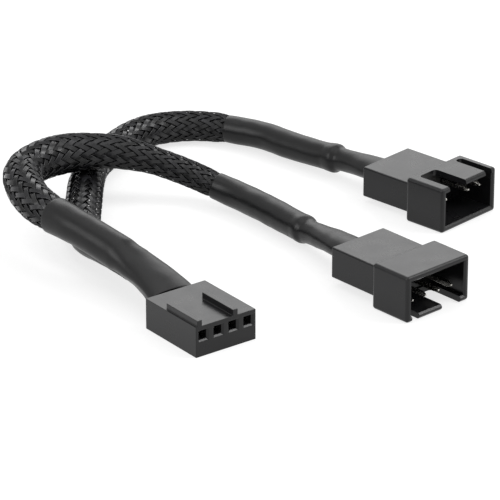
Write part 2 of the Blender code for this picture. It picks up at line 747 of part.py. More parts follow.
def build():
    """Make the whole cable."""
    clear_scene()
    female = connector_frame("female_frame", FEMALE_PLACE, FEMALE_YAW, -FEMALE_BOTTOM)
    male_a = connector_frame("male_a_frame", MALE_A_PLACE, MALE_A_YAW, SHROUD_TOP, upside_down=True)
    male_b = connector_frame("male_b_frame", MALE_B_PLACE, MALE_B_YAW, -SHROUD_BOTTOM)
    bpy.context.view_layer.update()

    build_female_housing(female, BLACK_NYLON)
    build_male_housing("male_housing_a", male_a, BLACK_NYLON)
    build_male_housing("male_housing_b", male_b, BLACK_NYLON)
    for contact in CONTACTS:
        build_female_terminal(f"female_terminal_{contact}", female, contact_x(contact), TINNED_BRASS)
        build_male_pin(f"male_pin_a_{contact}", male_a, male_contact_x(contact), TINNED_BRASS)
        if contact != TACH_CONTACT:
            build_male_pin(f"male_pin_b_{contact}", male_b, male_contact_x(contact), TINNED_BRASS)

    route_a = Route(FORK_ROUTE_A + SLEEVE_ROUTE_A + SHRINK_ROUTE_A)
    route_b = Route(FORK_ROUTE_B + SLEEVE_ROUTE_B + SHRINK_ROUTE_B)
    lip_a = route_a.distance_of(FORK_ROUTE_A[-1])
    lip_b = route_b.distance_of(FORK_ROUTE_B[-1])
    mouth_a = route_a.distance_of(SLEEVE_ROUTE_A[-1])
    mouth_b = route_b.distance_of(SLEEVE_ROUTE_B[-1])
    build_fork("fork_heat_shrink", route_a, route_b, lip_a, lip_b, BLACK_HEAT_SHRINK)
    build_sleeve("sleeve_a", route_a, lip_a + GAP, mouth_a - GAP, SLEEVE_A_RADII, BLACK_BRAID)
    build_sleeve("sleeve_b", route_b, lip_b + GAP, mouth_b - GAP, SLEEVE_B_RADII, BLACK_BRAID)
    build_male_shrink("heat_shrink_a", route_a, mouth_a, route_a.length - GAP, BLACK_HEAT_SHRINK)
    build_male_shrink("heat_shrink_b", route_b, mouth_b, route_b.length - GAP, BLACK_HEAT_SHRINK)

    plan_a = WirePlan(
        route_a, BUNDLE_A, female, male_a, (0.2 * lip_a, 0.45 * lip_a), (0.25 * lip_a, 0.7 * lip_a), math.pi
    )
    plan_b = WirePlan(
        route_b, BUNDLE_B, female, male_b, (0.35 * lip_b, 0.6 * lip_b), (0.4 * lip_b, 0.8 * lip_b), 0.0
    )
    low_wire = FEMALE_BOX_LOW + SHEET + CRIMP_CLEARANCE + WIRE_WIDTH / 2
    pin_wire = PIN_BODY_LOW + SHEET + CRIMP_CLEARANCE + WIRE_WIDTH / 2
    for contact in CONTACTS:
        stacked = contact != TACH_CONTACT
        high_wire = low_wire + WIRE_STACK if stacked else low_wire
        build_wire(f"wire_a_{contact}", contact, plan_a, high_wire, pin_wire, BLACK_INSULATION)
        if stacked:
            build_wire(f"wire_b_{contact}", contact, plan_b, low_wire, pin_wire, BLACK_INSULATION)


build()
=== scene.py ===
"""Dressed scene of a Y splitter cable for four-pin computer fans.

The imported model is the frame.  The crimp housing, the two shrouded housings,
the heat-shrinks and the braided sleeves are made again here with the detail
of the real ones.  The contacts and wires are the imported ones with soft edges,
and the wires are drawn in where the sleeves round them need it.
Lengths are in metres, with +Z up and the ground at z = 0.
"""

import logging
import math
from collections.abc import Callable, Sequence
from dataclasses import dataclass, field
from enum import Enum
from functools import partial
from typing import Any

import bmesh
import bpy
from mathutils import Matrix, Vector, noise


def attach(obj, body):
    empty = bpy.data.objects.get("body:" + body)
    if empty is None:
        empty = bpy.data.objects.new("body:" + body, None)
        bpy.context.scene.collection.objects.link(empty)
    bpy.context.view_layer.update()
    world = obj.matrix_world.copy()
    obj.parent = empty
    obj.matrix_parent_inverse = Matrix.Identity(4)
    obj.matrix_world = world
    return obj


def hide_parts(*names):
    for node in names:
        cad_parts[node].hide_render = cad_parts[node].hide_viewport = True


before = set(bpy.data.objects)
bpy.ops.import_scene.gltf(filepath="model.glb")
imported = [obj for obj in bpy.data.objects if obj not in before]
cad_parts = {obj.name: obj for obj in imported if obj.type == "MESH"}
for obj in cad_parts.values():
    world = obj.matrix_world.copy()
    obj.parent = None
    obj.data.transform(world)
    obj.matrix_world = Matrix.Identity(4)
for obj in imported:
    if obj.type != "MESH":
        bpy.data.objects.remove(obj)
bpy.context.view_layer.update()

LOG = logging.getLogger("fan_splitter_cable")
MM = 0.001
# Step of the points taken along each sleeve's path
CORD_STEP = 1.5 * MM
# In millimetres, how far a cutting box runs on into the next one's hollow, and
# how far it stands out of a face that it opens
OVERLAP = 0.2
OVERSHOOT = 1.0
# Middle of the contact row, between the second contact and the third
ROW_MIDDLE = 2.5
MATH = "ShaderNodeMath"
VECTOR_MATH = "ShaderNodeVectorMath"

Point = tuple[float, float, float]
Colour = tuple[float, float, float, float]
Section = tuple[float, float, float]


class Contact(Enum):
    """The four circuits of a fan connector, numbered from the left of travel."""

    GROUND = 1
    SUPPLY = 2
    TACH = 3
    CONTROL = 4


class Branch(Enum):
    """The two legs of the cable."""

    UPPER = "a"
    LOWER = "b"


class Boolean(Enum):
    """What a tool does to the object that it meets."""

    CUT = "DIFFERENCE"
    JOIN = "UNION"


# Centreline of each branch from the crimp housing to its shrouded housing, in
# millimetres: first the stretch in the fork, then the sleeve, then the
# heat-shrink, which share their end points
FORK_ROUTES: dict[Branch, list[Point]] = {
    Branch.UPPER: [
        (-27.01, -14.14, 3.45),
        (-26.9, -10.2, 4.4),
        (-27.2, -5.8, 5.1),
        (-28.1, -1.6, 6.1),
        (-29.0, 2.8, 7.0),
        (-29.9, 7.4, 7.7),
        (-30.15, 10.3, 7.85),
    ],
    Branch.LOWER: [
        (-27.01, -14.14, 2.45),
        (-26.4, -10.2, 3.3),
        (-25.6, -5.8, 3.4),
        (-25.1, -1.6, 3.4),
        (-24.7, 2.8, 3.1),
        (-24.5, 7.0, 2.9),
        (-24.2, 11.0, 2.8),
    ],
}
SLEEVE_ROUTES: dict[Branch, list[Point]] = {
    Branch.UPPER: [
        (-30.1, 14.4, 7.95),
        (-29.43, 17.87, 8.05),
        (-28.3, 21.1, 8.15),
        (-26.95, 23.64, 8.2),
        (-25.49, 25.51, 8.2),
        (-23.4, 26.9, 8.2),
        (-19.9, 27.9, 8.2),
        (-16.5, 27.7, 8.2),
        (-13.1, 26.5, 8.12),
        (-9.7, 24.7, 7.8),
        (-6.4, 22.5, 6.8),
        (-3.0, 19.7, 5.35),
        (-0.3, 16.9, 3.95),
        (1.2, 14.3, 3.05),
    ],
    Branch.LOWER: [
        (-22.9, 14.2, 2.8),
        (-21.03, 17.07, 2.84),
        (-18.83, 20.0, 2.84),
        (-16.6, 22.95, 2.8),
        (-14.3, 26.0, 2.74),
        (-11.75, 29.0, 2.7),
        (-8.9, 31.8, 2.7),
        (-5.3, 34.3, 2.7),
        (-1.3, 36.3, 2.65),
        (2.6, 37.9, 2.65),
        (6.3, 38.6, 2.6),
        (9.9, 38.0, 2.5),
        (13.0, 36.4, 2.45),
        (15.5, 34.1, 2.4),
        (16.7, 32.4, 2.4),
    ],
}
SHRINK_ROUTES: dict[Branch, list[Point]] = {
    Branch.UPPER: [
        (2.3, 10.4, 2.55),
        (2.8, 4.9, 2.45),
        (2.85, -1.2, 2.4),
        (2.75, -7.0, 2.55),
        (2.5, -12.8, 3.25),
        (2.22, -17.93, 3.65),
    ],
    Branch.LOWER: [
        (19.3, 26.8, 2.45),
        (20.4, 21.6, 2.4),
        (21.6, 15.9, 2.55),
        (22.85, 10.2, 2.9),
        (23.8, 5.4, 3.2),
        (24.19, 3.15, 3.3),
    ],
}
# Share of the length, half width and half height of the shrouded ends'
# heat-shrinks, in millimetres
END_SECTIONS: dict[Branch, tuple[Section, ...]] = {
    Branch.UPPER: (
        (0.0, 2.02, 2.02),
        (0.03, 2.08, 2.08),
        (0.12, 2.1, 2.1),
        (0.45, 2.13, 2.13),
        (0.57, 2.08, 2.08),
        (0.592, 2.17, 2.15),
        (0.62, 2.15, 2.12),
        (0.64, 1.84, 1.8),
        (0.7, 1.85, 1.72),
        (0.85, 2.4, 1.65),
        (1.0, 2.75, 1.6),
    ),
    Branch.LOWER: (
        (0.0, 2.1, 2.1),
        (0.03, 2.15, 2.15),
        (0.3, 2.13, 2.13),
        (0.64, 2.08, 2.08),
        (0.665, 2.2, 2.18),
        (0.705, 2.24, 2.2),
        (0.725, 1.86, 1.8),
        (0.8, 1.9, 1.7),
        (0.9, 2.4, 1.65),
        (1.0, 2.75, 1.6),
    ),
}
# Share of the length and radius of the sleeves, in millimetres: a sleeve opens
# where it is bent and pushed together, and closes on the wires after that
SLEEVE_RADII: dict[Branch, tuple[tuple[float, float], ...]] = {
    Branch.UPPER: (
        (0.0, 2.25),
        (0.13, 2.5),
        (0.32, 2.62),
        (0.5, 2.68),
        (0.66, 2.28),
        (0.8, 1.8),
        (1.0, 1.75),
    ),
    Branch.LOWER: (
        (0.0, 2.35),
        (0.18, 2.48),
        (0.34, 2.44),
        (0.48, 2.2),
        (0.66, 2.27),
        (1.0, 2.02),
    ),
}


def linear(text: str) -> Colour:
    """Turn an sRGB hex colour to linear values.

    Args:
        text: The colour as "#rrggbb".

    Returns:
        Linear red, green and blue, and an alpha of 1.
    """
    channels = []
    for start in (1, 3, 5):
        value = int(text[start : start + 2], 16) / 255
        channels.append(value / 12.92 if value <= 0.04045 else ((value + 0.055) / 1.055) ** 2.4)
    return (channels[0], channels[1], channels[2], 1.0)


def set_inputs(tree: bpy.types.NodeTree, node: bpy.types.Node, inputs: dict[str | int, Any]) -> None:
    """Set or link the inputs of a node.

    Args:
        tree: The shader or geometry tree.
        node: The node.
        inputs: For an input's name or number, its value or the socket that feeds it.
    """
    for key, value in inputs.items():
        if isinstance(value, bpy.types.NodeSocket):
            tree.links.new(value, node.inputs[key])
        else:
            node.inputs[key].default_value = value


def add_node(
    tree: bpy.types.NodeTree, kind: str, inputs: dict[str | int, Any] | None = None, **settings: Any
) -> bpy.types.Node:
    """Add a node to a tree with its settings and links.

    Args:
        tree: The shader or geometry tree.
        kind: The node's type name.
        inputs: For an input's name or number, its value or the socket that feeds it.
        **settings: The node's own properties.

    Returns:
        The new node.
    """
    node = tree.nodes.new(kind)
    for name, value in settings.items():
        setattr(node, name, value)
    set_inputs(tree, node, inputs or {})
    return node


def new_material(
    name: str,
) -> tuple[bpy.types.Material, Callable[..., None], Callable[..., bpy.types.Node]]:
    """Make a material on a principled shader.

    Args:
        name: The material's name.

    Returns:
        The material, set_inputs for its shader, and add_node for its tree.
    """
    material = bpy.data.materials.new(name)
    material.use_nodes = True
    tree = material.node_tree
    return material, partial(set_inputs, tree, tree.nodes["Principled BSDF"]), partial(add_node, tree)


def smooth_step(value: float, start: float, end: float) -> float:
    """Return 0 before start, 1 after end, and a smooth step between."""
    share = min(max((value - start) / (end - start), 0.0), 1.0)
    return share * share * (3 - 2 * share)


def catmull_rom(p0: Vector, p1: Vector, p2: Vector, p3: Vector, t: float) -> Vector:
    """Return a point on a centripetal Catmull-Rom span.

    Args:
        p0: The given point before the span.
        p1: The span's first point.
        p2: The span's last point.
        p3: The given point after the span.
        t: The share of the span, from 0 to 1.

    Returns:
        The point on the smooth line.
    """
    knots = [0.0]
    for a, b in ((p0, p1), (p1, p2), (p2, p3)):
        knots.append(knots[-1] + math.sqrt((b - a).length))
    t0, t1, t2, t3 = knots
    u = t1 + (t2 - t1) * t
    a1 = p0 * ((t1 - u) / (t1 - t0)) + p1 * ((u - t0) / (t1 - t0))
    a2 = p1 * ((t2 - u) / (t2 - t1)) + p2 * ((u - t1) / (t2 - t1))
    a3 = p2 * ((t3 - u) / (t3 - t2)) + p3 * ((u - t2) / (t3 - t2))
    b1 = a1 * ((t2 - u) / (t2 - t0)) + a2 * ((u - t0) / (t2 - t0))
    b2 = a2 * ((t3 - u) / (t3 - t1)) + a3 * ((u - t1) / (t3 - t1))
    return b1 * ((t2 - u) / (t2 - t1)) + b2 * ((u - t1) / (t2 - t1))


@dataclass
class Route:
    """The smooth centreline of one branch, read by distance along it."""

    branch: Branch
    span_steps: int = 16
    line: list[Vector] = field(default_factory=list)
    along: list[float] = field(default_factory=list)

    def __post_init__(self) -> None:
        """Run the line through the branch's listed points."""
        hand_set = FORK_ROUTES[self.branch] + SLEEVE_ROUTES[self.branch] + SHRINK_ROUTES[self.branch]
        points = [Vector(p) * MM for p in hand_set]
        padded = [2 * points[0] - points[1], *points, 2 * points[-1] - points[-2]]
        self.line.append(points[0])
        for i in range(len(points) - 1):
            for k in range(1, self.span_steps + 1):
                self.line.append(catmull_rom(*padded[i : i + 4], k / self.span_steps))
        self.along.append(0.0)
        for a, b in zip(self.line, self.line[1:]):
            self.along.append(self.along[-1] + (b - a).length)

    @property
    def length(self) -> float:
        """Return the whole length of the centreline."""
        return self.along[-1]

    @property
    def lip(self) -> float:
        """Return the distance at which the fork's heat-shrink ends."""
        return self.distance_of(FORK_ROUTES[self.branch][-1])

    @property
    def mouth(self) -> float:
        """Return the distance at which the shrouded end's heat-shrink starts."""
        return self.distance_of(SLEEVE_ROUTES[self.branch][-1])

    def distance_of(self, point_mm: Point | Vector) -> float:
        """Measure how far along the line a point lies.

        Args:
            point_mm: The point, in millimetres.

        Returns:
            The distance of the line's nearest point from its start.
        """
        target = Vector(point_mm) * MM
        nearest = min(range(len(self.line)), key=lambda i: (self.line[i] - target).length)
        return self.along[nearest]

    def at(self, distance: float) -> tuple[Vector, Vector]:
        """Read the line at a distance along it.

        Args:
            distance: The distance, which is kept within the line.

        Returns:
            The point and the tangent there.
        """
        distance = min(max(distance, 0.0), self.length)
        i = 0
        while i < len(self.along) - 2 and self.along[i + 1] < distance:
            i += 1
        share = (distance - self.along[i]) / (self.along[i + 1] - self.along[i])
        before = self.line[max(i - 1, 0)]
        middle = (self.line[i + 1] - self.line[i]).normalized()
        after = self.line[min(i + 2, len(self.line) - 1)]
        first = (self.line[i + 1] - before).normalized()
        last = (after - self.line[i]).normalized()
        tangent = first.lerp(last, share) + middle
        return self.line[i].lerp(self.line[i + 1], share), tangent.normalized()

    def frame(self, distance: float) -> tuple[Vector, Vector, Vector]:
        """Read the line's own axes at a distance along it.

        Args:
            distance: The distance, which is kept within the line.

        Returns:
            The point, the level direction to the right of travel, and up.
        """
        point, tangent = self.at(distance)
        side = tangent.cross(Vector((0, 0, 1))).normalized()
        return point, side, side.cross(tangent)

    def between(self, start: float, end: float, step: float) -> list[Vector]:
        """Return evenly spaced points from start to end, about a step apart."""
        count = round((end - start) / step)
        return [self.at(start + (end - start) * i / count)[0] for i in range(count + 1)]


def add_blotches(
    add: Callable[..., bpy.types.Node], size: float, detail: float, colours: tuple[str, str]
) -> tuple[bpy.types.NodeSocket, bpy.types.NodeSocket]:
    """Blend two colours in blotches that are fixed to the piece.

    Args:
        add: add_node for the material's tree.
        size: The blotches' size, in metres.
        detail: How many finer layers they have.
        colours: The two sRGB hex colours.

    Returns:
        The sockets of the second colour's share and of the blend.
    """
    place = add("ShaderNodeTexCoord").outputs["Object"]
    pattern = {"Vector": place, "Scale": 1 / size, "Detail": detail}
    share = add("ShaderNodeTexNoise", pattern).outputs["Fac"]
    blend = {"Factor": share, 6: linear(colours[0]), 7: linear(colours[1])}
    return share, add("ShaderNodeMix", blend, data_type="RGBA").outputs[2]


def add_relief(
    add: Callable[..., bpy.types.Node], *layers: tuple[float, float, float]
) -> bpy.types.NodeSocket:
    """Raise layers of bumps that are fixed to the piece, each on the one before.

    Args:
        add: add_node for the material's tree.
        *layers: The size of each layer's bumps in metres, their detail, and their height in metres.

    Returns:
        The socket of the raised surface's normal.
    """
    place = add("ShaderNodeTexCoord").outputs["Object"]
    raised: dict[str | int, Any] = {}
    for size, detail, height in layers:
        bumps = add("ShaderNodeTexNoise", {"Vector": place, "Scale": 1 / size, "Detail": detail})
        relief = {"Height": bumps.outputs["Fac"], "Distance": height, "Strength": 1.0, **raised}
        raised = {"Normal": add("ShaderNodeBump", relief).outputs["Normal"]}
    return raised["Normal"]


@dataclass(frozen=True)
class MouldedNylon:
    """Injection-moulded nylon 66 of the housings: satin black that pales where light grazes it."""

    name: str = "Moulded black nylon"
    base: str = "#121213"
    cloudy: str = "#1b1b1d"
    smoothest: float = 0.23
    roughest: float = 0.35
    specular: float = 0.32
    # Flow marks are a few millimetres long, and spark-eroded grain is drawn at
    # three times its real size so that it shows
    flow: float = 2.4 * MM
    flow_detail: float = 3.0
    grain: float = 0.18 * MM
    grain_detail: float = 2.0
    grain_depth: float = 0.006 * MM

    def make(self) -> bpy.types.Material:
        """Build the material.

        Returns:
            The material.
        """
        material, shade, add = new_material(self.name)
        share, tint = add_blotches(add, self.flow, self.flow_detail, (self.base, self.cloudy))
        spread = {"Value": share, "To Min": self.smoothest, "To Max": self.roughest}
        shade({"Base Color": tint, "Roughness": add("ShaderNodeMapRange", spread).outputs["Result"]})
        normal = add_relief(add, (self.grain, self.grain_detail, self.grain_depth))
        shade({"Normal": normal, "Specular IOR Level": self.specular})
        return material


@dataclass(frozen=True)
class ShrunkPolyolefin:
    """Heat-shrunk polyolefin tube: satin skin, faintly mottled and rippled where it shrank unevenly."""

    name: str = "Heat-shrunk black polyolefin"
    base: str = "#070708"
    mottled: str = "#0f0f10"
    smoothest: float = 0.26
    roughest: float = 0.44
    specular: float = 0.29
    mottling: float = 1.3 * MM
    mottling_detail: float = 4.0
    ripple: float = 3.2 * MM
    ripple_detail: float = 1.0
    ripple_depth: float = 0.05 * MM
    skin: float = 0.3 * MM
    skin_detail: float = 2.0
    skin_depth: float = 0.008 * MM

    def make(self) -> bpy.types.Material:
        """Build the material.

        Returns:
            The material.
        """
        material, shade, add = new_material(self.name)
        share, tint = add_blotches(add, self.mottling, self.mottling_detail, (self.base, self.mottled))
        spread = {"Value": share, "To Min": self.smoothest, "To Max": self.roughest}
        shade({"Base Color": tint, "Roughness": add("ShaderNodeMapRange", spread).outputs["Result"]})
        ripples = (self.ripple, self.ripple_detail, self.ripple_depth)
        normal = add_relief(add, ripples, (self.skin, self.skin_detail, self.skin_depth))
        shade({"Normal": normal, "Specular IOR Level": self.specular})
        return material


@dataclass(frozen=True)
class BraidedPolyester:
    """Woven polyester monofilament: each flat end shines along its threads and is dark in the gaps."""

    name: str = "Braided black polyester"
    base: str = "#0a0a0b"
    bright: str = "#232326"
    roughness: float = 0.3
    specular: float = 0.46

    def make(self) -> bpy.types.Material:
        """Build the material, whose tone follows each end's own attribute.

        Returns:
            The material.
        """
        material, shade, add = new_material(self.name)
        tone = add("ShaderNodeAttribute", attribute_name=BraidedSleeve.TONE)
        colours = {"Factor": tone.outputs["Fac"], 6: linear(self.base), 7: linear(self.bright)}
        tint = add("ShaderNodeMix", colours, data_type="RGBA")
        shade({"Base Color": tint.outputs[2], "Roughness": self.roughness})
        shade({"Specular IOR Level": self.specular})
        return material


@dataclass(frozen=True)
class Insulation:
    """Extruded PVC wire insulation: plain black with a soft shine and faint worn patches."""

    name: str = "Extruded black insulation"
    base: str = "#141415"
    worn: str = "#1e1e20"
    roughness: float = 0.45
    specular: float = 0.35
    patch: float = 0.6 * MM
    patch_detail: float = 2.0

    def make(self) -> bpy.types.Material:
        """Build the material.

        Returns:
            The material.
        """
        material, shade, add = new_material(self.name)
        tint = add_blotches(add, self.patch, self.patch_detail, (self.base, self.worn))[1]
        shade({"Base Color": tint, "Roughness": self.roughness, "Specular IOR Level": self.specular})
        return material


@dataclass(frozen=True)
class TinnedBrass:
    """Stamped brass with bright tin plate: silvery, with faint dull patches."""

    name: str = "Tinned brass"
    base: str = "#c9c7c1"
    dull: str = "#a8a6a0"
    smoothest: float = 0.18
    roughest: float = 0.36
    patch: float = 0.25 * MM
    patch_detail: float = 3.0

    def make(self) -> bpy.types.Material:
        """Build the material.

        Returns:
            The material.
        """
        material, shade, add = new_material(self.name)
        share, tint = add_blotches(add, self.patch, self.patch_detail, (self.base, self.dull))
        spread = {"Value": share, "To Min": self.smoothest, "To Max": self.roughest}
        sheen = add("ShaderNodeMapRange", spread).outputs["Result"]
        shade({"Base Color": tint, "Roughness": sheen, "Metallic": 1.0})
        return material


def link(name: str, data: bpy.types.ID) -> bpy.types.Object:
    """Wrap data in an object and put it in the scene.

    Args:
        name: The object's name.
        data: Its mesh, light or camera.

    Returns:
        The new object.
    """
    obj = bpy.data.objects.new(name, data)
    bpy.context.scene.collection.objects.link(obj)
    return obj


def mesh_of(name: str, bm: bmesh.types.BMesh, recalculate: bool = True) -> bpy.types.Mesh:
    """Turn a bmesh into a mesh.

    Args:
        name: The mesh's name.
        bm: The bmesh, which is freed.
        recalculate: Whether its faces are turned to point out first.

    Returns:
        The new mesh.
    """
    if recalculate:
        bmesh.ops.recalc_face_normals(bm, faces=bm.faces)
    mesh = bpy.data.meshes.new(name)
    bm.to_mesh(mesh)
    bm.free()
    return mesh


def baked(obj: bpy.types.Object, name: str, place: Matrix | None = None) -> bpy.types.Object:
    """Replace an object that has live modifiers by one with the plain result.

    Args:
        obj: The object, which is removed with every tool that its modifiers name.
        name: The new object's name.
        place: Where the result goes, applied to its mesh.

    Returns:
        The new object at the origin.
    """
    bpy.context.view_layer.update()
    mesh = bpy.data.meshes.new_from_object(obj.evaluated_get(bpy.context.evaluated_depsgraph_get()))
    mesh.name = name
    tools = [modifier.object for modifier in obj.modifiers if modifier.type == "BOOLEAN"]
    for old in (*tools, obj):
        bpy.data.objects.remove(old, do_unlink=True)
    if place is not None:
        mesh.transform(place)
    return link(name, mesh)


def bridge(bm: bmesh.types.BMesh, near: Sequence[Any], far: Sequence[Any]) -> None:
    """Join two closed rings of the same size with quads.

    Args:
        bm: The bmesh that both rings are in.
        near: The first ring's corners.
        far: The second ring's corners, in the same order.
    """
    for i in range(len(near)):
        j = (i + 1) % len(near)
        bm.faces.new((near[j], near[i], far[i], far[j]))


@dataclass(frozen=True)
class SoftBox:
    """Soft box that looks at the cable, with its place and size in metres and its power in watts."""

    name: str
    place: Point
    size: tuple[float, float]
    power: float

    def hang(self) -> None:
        """Put the lamp in the scene."""
        data = bpy.data.lights.new(self.name, "AREA")
        data.shape = "RECTANGLE"
        data.size, data.size_y = self.size
        data.energy = self.power
        lamp = link(self.name, data)
        lamp.location = Vector(self.place)
        lamp.rotation_euler = (-Vector(self.place)).to_track_quat("-Z", "Y").to_euler()


@dataclass
class Studio:
    """White sweep, soft light and the camera that stands where the photograph was taken."""

    # The camera's place and aim are in millimetres
    camera_place: Point = (-298.5, -393.65, 221.1)
    aim: Point = (-4.7, -1.95, 0.0)
    lens: float = 266.71
    sensor: float = 36.0
    nearest: float = 0.01
    farthest: float = 50.0
    white: str = "#ffffff"
    sky_light: float = 0.4
    floor_size: float = 6.0
    floor_colour: str = "#a8a8a8"
    floor_roughness: float = 0.9
    floor_glow: float = 0.72
    lamps: tuple[SoftBox, ...] = (
        SoftBox("Back soft box", (0.55, 0.75, 0.56), (0.9, 0.5), 2.65),
        SoftBox("Top soft box", (0.0, 0.0, 1.1), (0.9, 0.9), 2.6),
        SoftBox("Left soft box", (-0.9, 0.1, 0.5), (0.5, 0.5), 2.8),
        SoftBox("Front edge light", (0.5, -0.375, 0.66), (0.32, 0.3), 2.6),
    )

    def build_camera(self) -> None:
        """Make the camera."""
        data = bpy.data.cameras.new("Camera")
        data.lens = self.lens
        data.sensor_width = self.sensor
        data.clip_start = self.nearest
        data.clip_end = self.farthest
        camera = link("Camera", data)
        place = Vector(self.camera_place) * MM
        camera.location = place
        camera.rotation_euler = (Vector(self.aim) * MM - place).to_track_quat("-Z", "Y").to_euler()
        bpy.context.scene.camera = camera
        bpy.context.scene.view_settings.view_transform = "Standard"

    def add_seen(self, tree: bpy.types.NodeTree) -> bpy.types.NodeSocket:
        """Tell what the eye sees, straight or by gloss or glass, from what only gets light.

        Args:
            tree: The shader tree.

        Returns:
            A socket that is 1 for such rays and else 0.
        """
        rays = add_node(tree, "ShaderNodeLightPath").outputs
        seen = rays["Is Camera Ray"]
        for ray in ("Is Glossy Ray", "Is Transmission Ray"):
            seen = add_node(tree, MATH, {0: seen, 1: rays[ray]}, operation="MAXIMUM").outputs[0]
        return seen

    def build_sky(self) -> None:
        """Make the world: white to the eye and in reflections, and an even soft light elsewhere."""
        world = bpy.data.worlds.new("White studio")
        world.use_nodes = True
        bpy.context.scene.world = world
        tree = world.node_tree
        levels = {"Value": self.add_seen(tree), "To Min": self.sky_light, "To Max": 1.0}
        strength = add_node(tree, "ShaderNodeMapRange", levels).outputs["Result"]
        set_inputs(tree, tree.nodes["Background"], {"Strength": strength, "Color": linear(self.white)})

    def build_floor(self) -> None:
        """Make the floor, which glows a little to the eye and in reflections and keeps the shadow."""
        bm = bmesh.new()
        half = self.floor_size / 2
        corners = ((-half, -half, 0), (half, -half, 0), (half, half, 0), (-half, half, 0))
        bm.faces.new([bm.verts.new(p) for p in corners])
        floor = link("Floor", mesh_of("Floor", bm, recalculate=False))
        material, shade, add = new_material("Matt white paper")
        seen = self.add_seen(material.node_tree)
        glow = add(MATH, {0: seen, 1: self.floor_glow}, operation="MULTIPLY").outputs[0]
        shade({"Base Color": linear(self.floor_colour), "Roughness": self.floor_roughness})
        shade({"Emission Color": linear(self.white), "Emission Strength": glow})
        floor.data.materials.append(material)

    def build(self) -> None:
        """Make the camera, the sky, the floor and the lamps."""
        self.build_camera()
        self.build_sky()
        self.build_floor()
        for lamp in self.lamps:
            lamp.hang()


